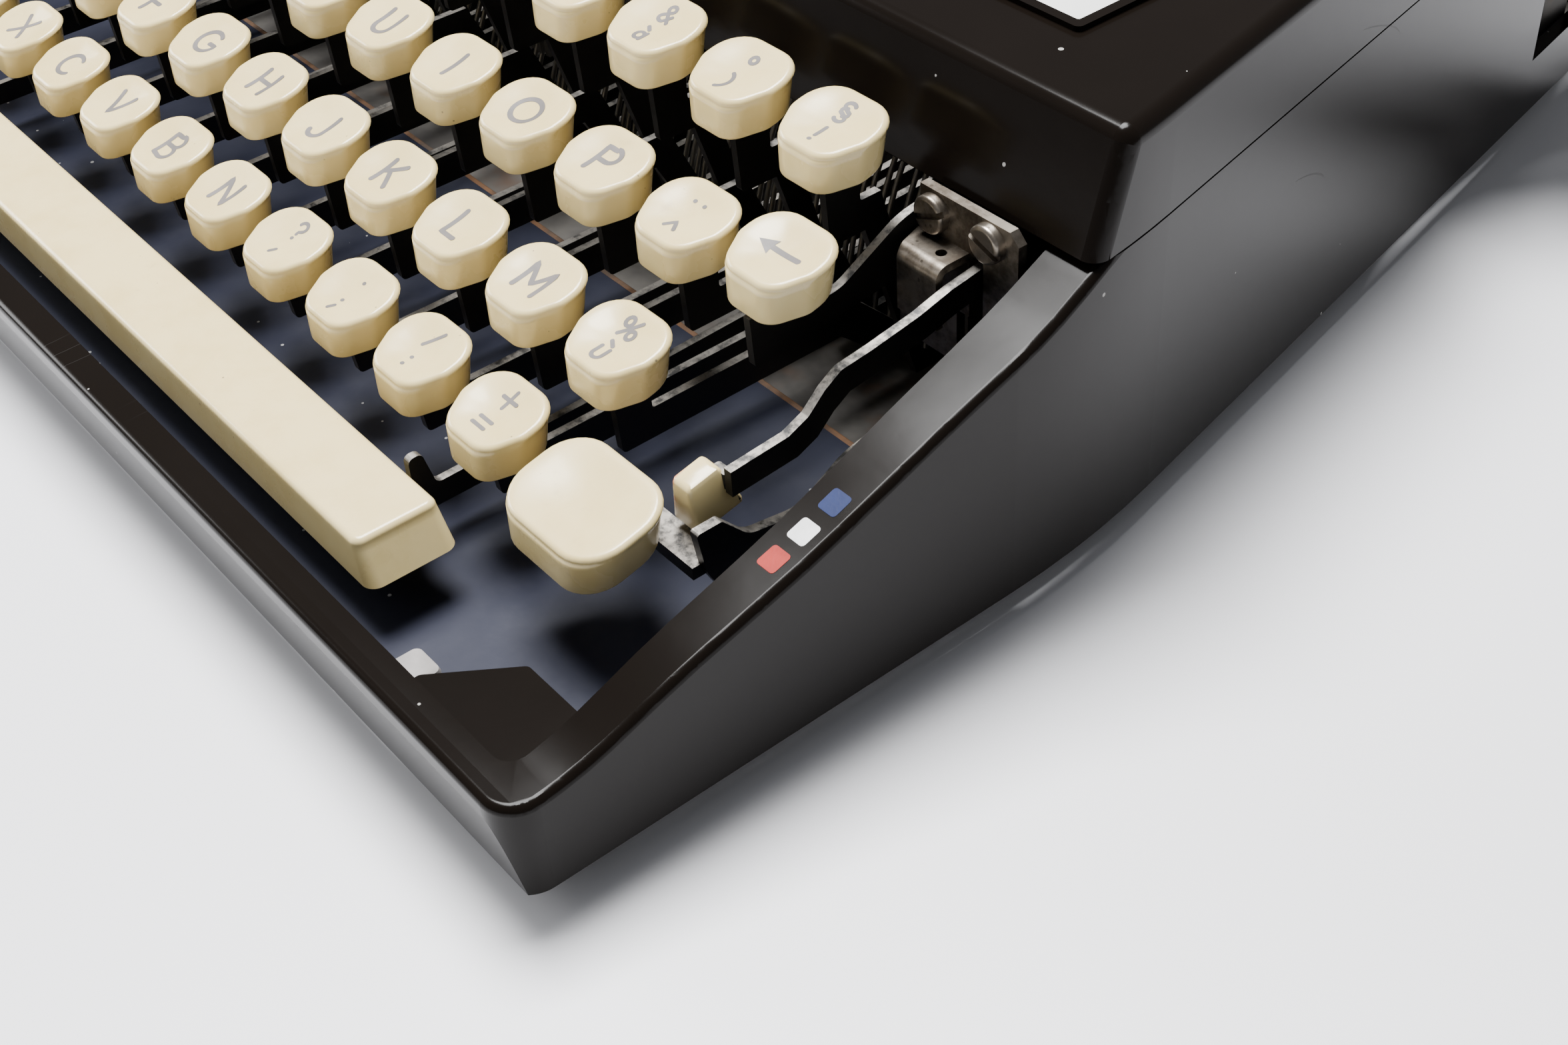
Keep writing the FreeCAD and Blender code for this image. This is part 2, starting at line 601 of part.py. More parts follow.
def shift_lock():
    """Locking key on the left, beside the home row."""
    count, y, top, shift, floor = ROWS["home"]
    x = -(FRONT_ROW_END - shift) - (count - 10) * KEY_PITCH - KEY_PITCH
    cap = key_cap(LOCK_CAP_SMALLER)
    cap.translate(Vector(x, y, top))
    plate_x = LOCK_PLATE_INSET - SHIFT_PLATE_X
    under = top - CAP_HEIGHT - BOSS_HEIGHT
    pivot_y, pivot_z = SIDE_PIVOT
    plate = [(y - 2, under), (y - 2, under - 8), (pivot_y, pivot_z - 4),
             (pivot_y + 4, pivot_z - 4), (pivot_y + 4, pivot_z + 4), (pivot_y, pivot_z + 4),
             (y + 5, under - 3), (y + 4, under)]
    arm = side_plate(plate, plate_x, LEVER_THICKNESS,
                     [0, 1, 0, 3.9, 3.9, 0, 2, 0],
                     [(pivot_y, pivot_z, ROD_RADIUS + RUNNING_CLEARANCE)])
    tab = block(plate_x + 0.5, x + 2, y - 1.5, y + 2.5, under - 1.8, under)
    return [cap, boss(cap, x, y, top), arm.fuse(tab).removeSplitter()]


def backspace_place():
    count, y, top, shift, floor = ROWS["upper"]
    return FRONT_ROW_END + shift + KEY_PITCH, y + 0.6, top + BACKSPACE_RISE


def backspace_key():
    x, y, top = backspace_place()
    cap = key_cap()
    cap.translate(Vector(x, y, top))
    under = top - CAP_HEIGHT - BOSS_HEIGHT
    pivot_y, pivot_z = BACKSPACE_PIVOT
    plate = [(y - 6, under), (y - 5.6, under - 8), (y + 5, under - 7),
             (LEVER_DROP_START + 12, BACKSPACE_LEVER_TOP - 9), (pivot_y, pivot_z - 4),
             (pivot_y + 4, pivot_z - 4), (pivot_y + 4, pivot_z + 4), (pivot_y, pivot_z + 4),
             (LEVER_DROP_START + 12, BACKSPACE_LEVER_TOP),
             (LEVER_DROP_START, BACKSPACE_LEVER_TOP - 1.5),
             (y + 9, under - 2.5), (y + 2, under - 2.5), (y + 1, under)]
    arm = side_plate(plate, x - LEVER_THICKNESS / 2, LEVER_THICKNESS,
                     [0, 0.8, 6, 20, 0, 3.9, 3.9, 0, 15, 12, 8, 1, 0],
                     [(pivot_y, pivot_z, ROD_RADIUS + RUNNING_CLEARANCE)])
    return [cap, boss(cap, x, y, top), arm]


def ribbon_selector():
    """Colour selector: a wedge-shaped tip on a flat steel arm that slides fore and aft."""
    x = SELECTOR_X
    y = SELECTOR_SETBACK

    def level(x0, x1, y0, y1, z):
        return Part.makePolygon([Vector(x0, y0, z), Vector(x1, y0, z), Vector(x1, y1, z),
                                 Vector(x0, y1, z), Vector(x0, y0, z)])
    tip = Part.makeLoft([level(x - 5.9, x - 0.4, y - 4.0, y + 4.0, 25.5),
                         level(x - 5.3, x - 1.5, y - 2.6, y + 2.6, 32.5)], True, True)
    tip = tip.makeFillet(0.7, tip.Edges).rotated(Vector(x, y, 29), Vector(1, 0, 0), SELECTOR_TILT)
    rear = PLATE_FACE + 8
    upper = [(y + 1.8, 33.3)] + SELECTOR_EDGE + [(rear, 44.5)]
    lower = [(a + 1.3, b - SELECTOR_DEPTH) for a, b in SELECTOR_EDGE]
    arm = upper + [(rear, 44.5 - SELECTOR_DEPTH)] + lower[::-1] + [(y + 1.8, 29.3)]
    blade = side_plate(arm, x - SELECTOR_THICKNESS / 2, SELECTOR_THICKNESS,
                       [0] + [1.0] * len(SELECTOR_EDGE) + [0, 0]
                       + [1.0] * len(SELECTOR_EDGE) + [0])
    tang = block(x - 3.5, x, y + 1.8, y + 3.2, 29.6, 32.0)
    blade = blade.fuse(tang)
    return [tip, blade.cut(tip)]


def selector_bracket():
    """Nickel plate screwed to the frame, with the folded guide beside the selector arm."""
    left = SELECTOR_X - 10.7
    right = left + PLATE_WIDTH
    rear = PLATE_FACE + PLATE_THICKNESS
    low = PLATE_TOP - PLATE_DEPTH
    plate = block(left, right, PLATE_FACE, rear, low, PLATE_TOP)
    corner = [edge for edge in plate.Edges if edge.BoundBox.XMin > right - 0.01
              and edge.BoundBox.ZMin > PLATE_TOP - 0.01]
    plate = plate.makeChamfer(1.6, corner)
    slot_half = SELECTOR_THICKNESS / 2 + 0.6
    plate = plate.cut(block(SELECTOR_X - slot_half, SELECTOR_X + slot_half, PLATE_FACE - 1,
                            rear + 1, low - 1, BRACKET_TOP))
    x0 = left
    fold = side_plate([(BRACKET_FRONT, BRACKET_TOP - BRACKET_DROP),
                       (BRACKET_FRONT + 1.2, BRACKET_TOP - BRACKET_DROP),
                       (BRACKET_FRONT + 1.2, BRACKET_TOP - 1.2),
                       (PLATE_FACE + 0.5, BRACKET_TOP - 1.2), (PLATE_FACE + 0.5, BRACKET_TOP),
                       (BRACKET_FRONT, BRACKET_TOP)],
                      x0, BRACKET_WIDTH, [0, 0, 0.8, 0, 0, 2.0])
    fold = fold.cut(disc(0.8, x0 + 6.8, BRACKET_FRONT + 3.4, BRACKET_TOP - 3, BRACKET_TOP + 3))
    fold = fold.cut(slab([(x0 - 1, PLATE_FACE), (x0 - 1, BRACKET_FRONT - 1),
                          (x0 + 2.1, BRACKET_FRONT - 1), (x0, PLATE_FACE - 0.5)], 0, PLATE_TOP))
    frame_side = FRAME_X + FRAME_THICKNESS
    foot = low - 9.0
    leg = block(left, left + 7, PLATE_FACE, rear, foot, low + 1)
    strip = block(frame_side, left + 1, PLATE_FACE, rear, foot, foot + 7)
    arm = block(frame_side, frame_side + PLATE_THICKNESS, PLATE_FACE, FRAME_FRONT + 10,
                foot, foot + 7)
    return plate.fuse([fold, leg, strip, arm]).removeSplitter()


def bracket_screws():
    screws = []
    for offset, z, turn in SCREW_PLACES:
        x = SELECTOR_X + offset
        start = Vector(x, PLATE_FACE, z)
        head = Part.makeCylinder(SCREW_HEAD_RADIUS, 1.6, start, Vector(0, -1, 0))
        rim = [edge for edge in head.Edges if edge.BoundBox.YMax < PLATE_FACE - 1.5]
        head = head.makeFillet(0.6, rim)
        slot = block(x - 4, x + 4, PLATE_FACE - 3, PLATE_FACE - 0.9, z - 0.45, z + 0.45)
        slot.rotate(start, Vector(0, 1, 0), turn)
        screws.append(head.cut(slot))
    return screws


# ---- frame, key guides and type basket ---------------------------------------------------
def side_frames():
    """Upright side plates that carry the rods, the spool shelves and the carriage rail."""
    rear = RAIL_Y + 6
    low = BASE_TOP
    plate = [(FRAME_FRONT, low), (rear, low), (rear, RAIL_BASE), (NOTCH_FRONT + 3, RAIL_BASE),
             (NOTCH_FRONT - 6, 40.0), (COVER_REAR, 40.0), (COVER_REAR - 10, SHELF_HEIGHT),
             (FRAME_FRONT, SHELF_HEIGHT)]
    frame = side_plate(plate, FRAME_X, FRAME_THICKNESS, [0, 0, 0, 4, 6, 4, 4, 4],
                       [(FULCRUM_Y, FULCRUM_Z, ROD_RADIUS + 0.01)])
    spool_y = SEGMENT_Y - 8
    shelf = slab(rectangle(SPOOL_X - SPOOL_RADIUS, FRAME_X + 0.5, spool_y - 12, spool_y + 12),
                 SHELF_HEIGHT - 1.5, SHELF_HEIGHT, [10, 0, 0, 10])
    spindle = disc(ROD_RADIUS, SPOOL_X, spool_y, SHELF_HEIGHT - 0.5, SPOOL_BASE + SPOOL_HEIGHT - 1)
    collar = disc(5.0, SPOOL_X, spool_y, SHELF_HEIGHT - 0.5, SPOOL_BASE - 0.3)
    shift_stub = rod(ROD_RADIUS, FRAME_X + 1, SHIFT_PLATE_X + 2.5, *SIDE_PIVOT)
    frame = frame.fuse([shelf, spindle, collar, shift_stub])
    right = frame.fuse(rod(ROD_RADIUS, FRAME_X + 1, backspace_place()[0] + 2, *BACKSPACE_PIVOT))
    return [right.removeSplitter(), mirrored(frame.removeSplitter())]


def lever_places():
    places = [x for row in ROWS for x, y, top, floor in row_places(row)]
    return sorted(places + space_arm_places())


def key_comb():
    """Slotted guide that keeps every lever in its own plane just ahead of the fulcrum."""
    y = FULCRUM_Y - 12
    comb = block(-FRAME_X, FRAME_X, y, y + 1.5, 9.5, LEVER_CEILING + 3.5)
    half = LEVER_THICKNESS / 2 + 0.45
    slots = [block(x - half, x + half, y - 1, y + 3, 8.0, LEVER_CEILING)
             for x in lever_places()]
    return comb.cut(slots)


def fulcrum_rod():
    return rod(ROD_RADIUS, -ROD_END, ROD_END, FULCRUM_Y, FULCRUM_Z)


def type_angle(i):
    return -SEGMENT_SPREAD + 2 * SEGMENT_SPREAD * i / (TYPE_BAR_COUNT - 1)


def type_segment():
    """Slotted segment that carries the type bars, cast in one with its cross frame."""
    start = SEGMENT_Y - SEGMENT_THICKNESS / 2
    centre = Vector(0, start, PLATEN_HEIGHT)
    back = Vector(0, 1, 0)
    outer = Part.makeCylinder(SEGMENT_RADIUS + 5, SEGMENT_THICKNESS, centre, back)
    inner = Part.makeCylinder(SEGMENT_RADIUS - 4, SEGMENT_THICKNESS, centre, back)
    ring = outer.cut(inner)
    cut_height = PLATEN_HEIGHT - SEGMENT_RADIUS * math.cos(math.radians(SEGMENT_SPREAD + 7))
    reach = SEGMENT_RADIUS + 6
    ring = ring.cut(block(-reach, reach, start - 1, start + SEGMENT_THICKNESS + 1,
                          cut_height, PLATEN_HEIGHT + reach))
    slots = []
    for i in range(TYPE_BAR_COUNT):
        slot = block(-TYPE_BAR_THICKNESS / 2 - 0.15, TYPE_BAR_THICKNESS / 2 + 0.15, start - 1,
                     start + SEGMENT_THICKNESS + 1, PLATEN_HEIGHT - SEGMENT_RADIUS - 3,
                     PLATEN_HEIGHT - SEGMENT_RADIUS + 6)
        slot.rotate(centre, Vector(0, 1, 0), -type_angle(i))
        slots.append(slot)
    ring = ring.cut(slots)
    bridge = block(-FRAME_X, FRAME_X, start, start + SEGMENT_THICKNESS, LEVER_CEILING,
                   LEVER_CEILING + 3.2)
    return ring.fuse(bridge).removeSplitter()


def type_bar():
    """One type bar at rest, straight down from the centre: bar, pivot end and type head."""
    length = math.hypot(SEGMENT_TO_PRINT, SEGMENT_RADIUS) - 1.0
    pivot_z = PLATEN_HEIGHT - SEGMENT_RADIUS
    tip = SEGMENT_Y - length
    half = TYPE_BAR_DEPTH / 2
    points = [(SEGMENT_Y + half, pivot_z - half), (SEGMENT_Y + half, pivot_z + half),
              (tip + 8, pivot_z + half - 1), (tip, pivot_z + half + 1), (tip, pivot_z - 4),
              (tip + 3, pivot_z - 4), (tip + 6, pivot_z - half + 1)]
    return side_plate(points, -TYPE_BAR_THICKNESS / 2, TYPE_BAR_THICKNESS,
                      [half - 0.05, half - 0.05, 3, 0, 0, 0, 2])


def save_type_bars():
    """Every bar but the last rests in the group; the last belongs to the equals key."""
    centre = Vector(0, SEGMENT_Y, PLATEN_HEIGHT)
    bars = []
    for i in range(TYPE_BAR_COUNT):
        bar = type_bar()
        bar.rotate(centre, Vector(0, 1, 0), -type_angle(i))
        bars.append(bar)
    save("type_bars", *bars[:-1])
    save("equals_type_bar", bars[-1])


def coil_radius(side):
    """Radius of the wound ribbon: the right spool is nearly full, the left half empty."""
    return SPOOL_RADIUS - (3.0 if side > 0 else 9.0)


def ribbon_spool(side):
    x = side * SPOOL_X
    y = SEGMENT_Y - 8
    top = SPOOL_BASE + SPOOL_HEIGHT
    wound = coil_radius(side)
    spool = disc(SPOOL_RADIUS, x, y, SPOOL_BASE, SPOOL_BASE + 0.8)
    spool = spool.fuse([disc(SPOOL_RADIUS, x, y, top - 0.8, top),
                        disc(wound, x, y, SPOOL_BASE + 0.5, top - 0.5)])
    holes = [disc(ROD_RADIUS + RUNNING_CLEARANCE, x, y, SPOOL_BASE - 1, top + 1)]
    for turn in range(3):
        angle = math.radians(120 * turn)
        holes.append(disc(1.6, x + 6 * math.cos(angle), y + 6 * math.sin(angle), top - 2, top + 1))
    return spool.cut(holes)


def ribbon():
    """Inked ribbon from spool to spool, past the printing point."""
    low = SPOOL_BASE + 1.0
    high = low + RIBBON_HEIGHT
    spool_y = SEGMENT_Y - 8
    gap = RIBBON_THICKNESS + 0.1
    line = PRINT_Y - 1.8
    outer = [(-SPOOL_X, spool_y + coil_radius(-1) + gap), (-44, line - 3), (-20, line),
             (20, line), (44, line - 3), (SPOOL_X, spool_y + coil_radius(1) + gap)]
    inner = [(x, y - RIBBON_THICKNESS) for x, y in reversed(outer)]
    return slab(outer + inner, low, high)


# ---- carriage ----------------------------------------------------------------------------
def carriage_rail():
    half = RAIL_WIDTH / 2
    return block(-ROD_END, ROD_END, RAIL_Y - half, RAIL_Y + half, RAIL_BASE,
                 RAIL_BASE + RAIL_HEIGHT)


def carriage_base():
    """Channel that rides on the rail."""
    half = RAIL_WIDTH / 2 + RAIL_CLEARANCE
    top = RAIL_BASE + RAIL_HEIGHT + RAIL_CLEARANCE
    low = RAIL_BASE + 0.8
    profile = [(RAIL_Y - half - 2.2, low), (RAIL_Y - half, low), (RAIL_Y - half, top),
               (RAIL_Y + half, top), (RAIL_Y + half, low), (RAIL_Y + half + 2.2, low),
               (RAIL_Y + half + 2.2, top + 3), (RAIL_Y - half - 2.2, top + 3)]
    return side_plate(profile, -CARRIAGE_HALF, 2 * CARRIAGE_HALF, [0.4, 0, 0, 0, 0, 0.4, 1, 1])


def deck_height():
    return RAIL_BASE + RAIL_HEIGHT + RAIL_CLEARANCE + 3.0 + 0.5


def feed_roller_place():
    reach = PLATEN_RADIUS + FEED_ROLLER_RADIUS + 0.2
    angle = math.radians(-115)
    return PLATEN_Y + reach * math.cos(angle), PLATEN_HEIGHT + reach * math.sin(angle)


def bail_pivot():
    return PLATEN_Y + 5.0, PLATEN_HEIGHT + 17.9


def release_pivot():
    return PLATEN_Y + 17.0, PLATEN_HEIGHT + 4.0


def return_pivot():
    return -PLATEN_HALF_LENGTH - 5.0, PLATEN_Y - 1.0


def carriage_frame():
    """End plates and deck of the carriage."""
    deck = deck_height()
    clear = 47.0
    front = PLATEN_Y - PLATEN_RADIUS + 1
    rear = BODY_DEPTH - 12
    profile = [(front, clear), (NOTCH_FRONT + 2, clear), (NOTCH_FRONT + 2, deck), (rear, deck),
               (rear, PLATEN_HEIGHT + 2), (PLATEN_Y + 13, PLATEN_HEIGHT + 20),
               (PLATEN_Y - 5, PLATEN_HEIGHT + 20), (front, PLATEN_HEIGHT + 8)]
    feed_y, feed_z = feed_roller_place()
    holes = [(PLATEN_Y, PLATEN_HEIGHT, AXLE_RADIUS + RUNNING_CLEARANCE),
             (feed_y, feed_z, PIN_RADIUS + RUNNING_CLEARANCE),
             (*bail_pivot(), PIN_RADIUS + RUNNING_CLEARANCE),
             (*release_pivot(), PIN_RADIUS + RUNNING_CLEARANCE)]
    inner = PLATEN_HALF_LENGTH + 0.5
    outer = inner + END_PLATE_THICKNESS
    frame = side_plate(profile, -outer, 2 * outer, [2, 2, 0, 2, 6, 8, 8, 4], holes)
    frame = frame.cut(block(-inner, inner, 0, BODY_DEPTH, deck + 1.5, PLATEN_HEIGHT * 2))
    tie = rod(2.0, -inner - 1, inner + 1, rear - 5, PLATEN_HEIGHT - 8)
    pin_x, pin_y = return_pivot()
    top = PLATEN_HEIGHT + 20
    lug = slab(rectangle(pin_x - 4, pin_x + 3, pin_y - 4, pin_y + 4), top - 3, top,
               [3.5, 0, 0, 3.5], [(pin_x, pin_y, PIN_RADIUS + RUNNING_CLEARANCE)])
    return frame.fuse([tie, lug]).removeSplitter()


def knob_start():
    return PLATEN_HALF_LENGTH + 0.5 + END_PLATE_THICKNESS + KNOB_GAP


def platen():
    roller = rod(PLATEN_RADIUS, -PLATEN_HALF_LENGTH, PLATEN_HALF_LENGTH, PLATEN_Y, PLATEN_HEIGHT)
    end = knob_start() + KNOB_LENGTH - 0.5
    axle = rod(AXLE_RADIUS, -end, end, PLATEN_Y, PLATEN_HEIGHT)
    return roller.fuse(axle)


def platen_knobs():
    """Fluted turning knobs on both ends of the platen axle."""
    start = knob_start()
    knob = rod(KNOB_RADIUS, start, start + KNOB_LENGTH, PLATEN_Y, PLATEN_HEIGHT)
    rims = [edge for edge in knob.Edges if edge.BoundBox.XLength < 0.01]
    knob = knob.makeFillet(1.5, rims)
    cuts = [rod(AXLE_RADIUS, start - 1, start + KNOB_LENGTH - 0.5, PLATEN_Y, PLATEN_HEIGHT)]
    for i in range(24):
        angle = 2 * math.pi * i / 24
        cuts.append(rod(0.9, start + 2.5, start + KNOB_LENGTH + 1,
                        PLATEN_Y + (KNOB_RADIUS + 0.3) * math.cos(angle),
                        PLATEN_HEIGHT + (KNOB_RADIUS + 0.3) * math.sin(angle)))
    knob = knob.cut(cuts)
    return [knob, mirrored(knob)]


def feed_rollers():
    y, z = feed_roller_place()
    rollers = [rod(PIN_RADIUS, -PLATEN_HALF_LENGTH - 1.5, PLATEN_HALF_LENGTH + 1.5, y, z)]
    for centre in (-70, 0, 70):
        rollers.append(rod(FEED_ROLLER_RADIUS, centre - 14, centre + 14, y, z))
    return rollers[0].fuse(rollers[1:]).removeSplitter()


def paper_bail():
    """Bar with two rubber rolls that presses the sheet against the platen."""
    pivot_y, pivot_z = bail_pivot()
    bar_y = PLATEN_Y - 8.0
    bar_z = PLATEN_HEIGHT + 17.2
    inner = PLATEN_HALF_LENGTH - 1.5
    arm = side_plate([(bar_y - 2.5, bar_z - 2), (pivot_y + 3, pivot_z - 2.2),
                      (pivot_y + 3, pivot_z + 2.2), (bar_y - 2.5, bar_z + 2)], inner, 1.5, 1.8)
    stub = rod(PIN_RADIUS, inner + 0.5, inner + 4, pivot_y, pivot_z)
    bar = rod(1.4, -inner - 0.5, inner + 0.5, bar_y, bar_z)
    frame = bar.fuse([arm, stub, mirrored(arm), mirrored(stub)]).removeSplitter()
    rolls = []
    for centre in (-55, 55):
        roll = rod(3.6, centre - 5, centre + 5, bar_y, bar_z)
        rolls.append(roll.cut(rod(1.4, centre - 6, centre + 6, bar_y, bar_z)))
    return [frame] + rolls


def paper_table():
    """Sloping plate behind the platen that carries the sheet."""
    foot_y = PLATEN_Y + PLATEN_RADIUS + 7.0
    foot_z = PLATEN_HEIGHT - 8.0
    top_y = BODY_DEPTH - 8.0
    points = [(foot_y, foot_z), (foot_y + 1.3, foot_z), (top_y, PAPER_TABLE_TOP),
              (top_y - 1.3, PAPER_TABLE_TOP)]
    half = PLATEN_HALF_LENGTH - 14
    return side_plate(points, -half, 2 * half, [0.2, 0.2, 0.5, 0.5])


def return_lever():
    """Line-space and carriage-return lever at the left end of the carriage."""
    x, y = return_pivot()
    z = PLATEN_HEIGHT + 20.3
    end_x = -HALF_WIDTH + 6
    points = [(x - 4, y + 4), (x + 4, y + 4), (x + 3, y - 8), (end_x + 5, PLATEN_Y - 48),
              (end_x - 4, PLATEN_Y - 46), (x - 5, y - 10)]
    blade = slab(points, z, z + 1.8, [3.5, 3.5, 6, 3.5, 3.5, 10])
    pin = disc(PIN_RADIUS, x, y, PLATEN_HEIGHT + 17.2, z + 0.5)
    return blade.fuse(pin).removeSplitter()


def paper_release_lever():
    """Small lever on the right end plate that opens the feed rollers."""
    x = PLATEN_HALF_LENGTH + 0.5 + END_PLATE_THICKNESS + 0.15
    y, z = release_pivot()
    points = [(y - 3, z - 3), (y + 3, z - 3), (y + 5, z + 20), (y + 9, z + 24),
              (y + 7, z + 27), (y + 1, z + 21)]
    lever = side_plate(points, x, 1.5, [2.2, 2.2, 4, 1, 1, 4])
    return lever.fuse(rod(PIN_RADIUS, x - 2.0, x + 0.5, y, z)).removeSplitter()


def mainspring_drum():
    """Spring drum that draws the carriage to the left."""
    x, y = drum_place()
    drum = disc(DRUM_RADIUS, x, y, BASE_TOP + 0.4, BASE_TOP + 12)
    groove = disc(DRUM_RADIUS + 1, x, y, BASE_TOP + 7, BASE_TOP + 10)
    groove = groove.cut(disc(DRUM_RADIUS - 1.2, x, y, BASE_TOP + 6, BASE_TOP + 11))
    bore = disc(ROD_RADIUS + RUNNING_CLEARANCE, x, y, BASE_TOP, BASE_TOP + 13)
    return drum.cut([groove, bore])


os.makedirs("parts", exist_ok=True)
save("body_shell", body_shell())
save("top_cover", top_cover())
save("name_badge", slab(badge_rectangle(-0.1), COVER_HEIGHT, COVER_HEIGHT + BADGE_THICKNESS - 0.3,
                        0.4))
save("base_plate", base_plate())
save("keyboard_tray", keyboard_tray())
save("rubber_feet", *rubber_feet())
save_keys()
save("space_bar", *space_bar())
right_shift = shift_key()
save("shift_key_right", *right_shift)
save("shift_key_left", *[mirrored(piece) for piece in right_shift])
save("shift_lock", *shift_lock())
save("backspace_key", *backspace_key())
save("ribbon_selector", *ribbon_selector())
save("selector_bracket", selector_bracket())
save("bracket_screws", *bracket_screws())
save("side_frames", *side_frames())
save("key_comb", key_comb())
save("fulcrum_rod", fulcrum_rod())
save("type_segment", type_segment())
save_type_bars()
save("left_ribbon_spool", ribbon_spool(-1))
save("right_ribbon_spool", ribbon_spool(1))
save("ribbon", ribbon())
save("carriage_rail", carriage_rail())
save("carriage_base", carriage_base())
save("carriage_frame", carriage_frame())
save("platen", platen())
save("platen_knobs", *platen_knobs())
save("feed_rollers", feed_rollers())
save("paper_bail", *paper_bail())
save("paper_table", paper_table())
save("return_lever", return_lever())
save("paper_release_lever", paper_release_lever())
save("mainspring_drum", mainspring_drum())
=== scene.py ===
import bpy
import math
import numpy as np
from mathutils import Matrix, Vector


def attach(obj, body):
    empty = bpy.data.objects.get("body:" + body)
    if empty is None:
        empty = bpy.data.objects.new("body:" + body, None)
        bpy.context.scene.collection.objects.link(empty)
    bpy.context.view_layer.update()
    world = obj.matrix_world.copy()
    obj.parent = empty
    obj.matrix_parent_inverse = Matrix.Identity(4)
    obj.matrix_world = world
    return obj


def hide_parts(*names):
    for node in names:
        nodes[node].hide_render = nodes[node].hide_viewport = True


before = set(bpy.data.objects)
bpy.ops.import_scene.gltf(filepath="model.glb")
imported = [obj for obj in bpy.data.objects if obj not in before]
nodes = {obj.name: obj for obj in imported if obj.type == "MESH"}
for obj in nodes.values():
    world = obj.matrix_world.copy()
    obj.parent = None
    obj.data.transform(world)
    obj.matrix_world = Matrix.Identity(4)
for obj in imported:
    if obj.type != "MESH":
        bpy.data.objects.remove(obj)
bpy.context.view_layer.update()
MM = 0.001
DEPTH_HALF = 136.0

# ---- sizes of the keys, in millimetres; setbacks are from the front wall ------------------
KEY_PITCH = 19.05
FRONT_ROW_END = 85.725
CAP_LEAN = math.radians(13.0)
LEAN_COS, LEAN_SIN = math.cos(CAP_LEAN), math.sin(CAP_LEAN)
CAP_SHOULDER = -0.7
CAP_HEIGHT = 5.8
CAP_TUCK = 0.4
CAP_FOOT_FORWARD = 0.6
BOSS_RADIUS = 2.6
BOSS_HEIGHT = 2.0
SHOULDER_ROUND = 3.0
SHIFT_PLACE = (108.925, 34.5, 29.5)
LOCK_PLACE = (-113.775, 50.6, 39.3)
BACKSPACE_PLACE = (109.675, 67.7, 51.8)
SPACE_SIZE = (178.2, 13.0, 7.0)
SPACE_PLACE = (0.0, 17.8, 22.5)
SPACE_CORNER = 1.6
SPACE_EDGE = 1.0
SPACE_DRAFT = 0.5
SPACE_END_DRAFT = 2.6
SELECTOR_X, SELECTOR_SETBACK = 121.225, 46.7
SELECTOR_LOW, SELECTOR_MIDDLE, SELECTOR_HIGH = 25.5, 29.0, 32.5
SELECTOR_TILT = math.radians(12.0)
SELECTOR_ROUND = 0.7


# ---- shader graph helper -----------------------------------------------------------------
class Sock:
    """An output socket that can be used in sums."""

    def __init__(self, tree, out):
        self.tree = tree
        self.out = out

    def math(self, op, *others):
        return node(self.tree, "ShaderNodeMath", [self, *others], operation=op)

    def __add__(self, other):
        return self.math("ADD", other)

    __radd__ = __add__

    def __sub__(self, other):
        return self.math("SUBTRACT", other)

    def __rsub__(self, other):
        return (self * -1.0) + other

    def __mul__(self, other):
        return self.math("MULTIPLY", other)

    __rmul__ = __mul__

    def __lt__(self, other):
        return self.math("LESS_THAN", other)

    def __gt__(self, other):
        return self.math("GREATER_THAN", other)

    def fade(self, low, high):
        """0 below low, 1 above high, smooth between."""
        return node(self.tree, "ShaderNodeMapRange", {"Value": self, "From Min": low, "From Max": high},
                    interpolation_type="SMOOTHSTEP")


def node(tree, kind, inputs=(), out=0, **settings):
    """Adds one node, sets its settings and inputs, and returns one of its outputs."""
    made = tree.nodes.new(kind)
    for name, value in settings.items():
        setattr(made, name, value)
    pairs = inputs.items() if isinstance(inputs, dict) else enumerate(inputs)
    for name, value in pairs:
        socket = made.inputs[name]
        if isinstance(value, Sock):
            tree.links.new(value.out, socket)
        else:
            socket.default_value = value
    return Sock(tree, made.outputs[out]) if made.outputs else None


def mix(a, b, factor):
    """Colour a where the factor is 0 and b where it is 1."""
    tree = factor.tree
    a, b = [c if isinstance(c, Sock) else (*c, 1.0) for c in (a, b)]
    return node(tree, "ShaderNodeMix", {0: factor, 6: a, 7: b}, 2, data_type="RGBA")


def noise(place, scale, detail=2.0, rough=0.5, distortion=0.0):
    return node(place.tree, "ShaderNodeTexNoise", {"Vector": place, "Scale": scale, "Detail": detail,
                                                   "Roughness": rough, "Distortion": distortion})


def stretched(place, scale, turn=(0.0, 0.0, 0.0)):
    return node(place.tree, "ShaderNodeMapping", {"Vector": place, "Rotation": turn, "Scale": scale})


def specks(place, scale, size, share):
    """Round grains: one cell in share holds one."""
    tree = place.tree
    near = node(tree, "ShaderNodeTexVoronoi", {"Vector": place, "Scale": scale})
    pick = node(tree, "ShaderNodeTexVoronoi", {"Vector": place, "Scale": scale}, "Color")
    red = node(tree, "ShaderNodeSeparateColor", [pick])
    green = node(tree, "ShaderNodeSeparateColor", [pick], 1)
    return (near < green * size) * (red > 1.0 - share)


def scratches(place, scale, width, turn, keep):
    """Fine broken lines along one direction."""
    line = noise(stretched(place, (1.0, 0.030, 0.4), turn), scale, 0.0, 0.4, 0.0)
    thin = 1.0 - (line - 0.5).math("ABSOLUTE").fade(0.0, width)
    return thin * noise(place, scale * 0.11, 2.0).fade(keep, keep + 0.06)


def bump(height, strength, distance=0.0002):
    return node(height.tree, "ShaderNodeBump", {"Height": height, "Strength": strength,
                                                "Distance": distance})


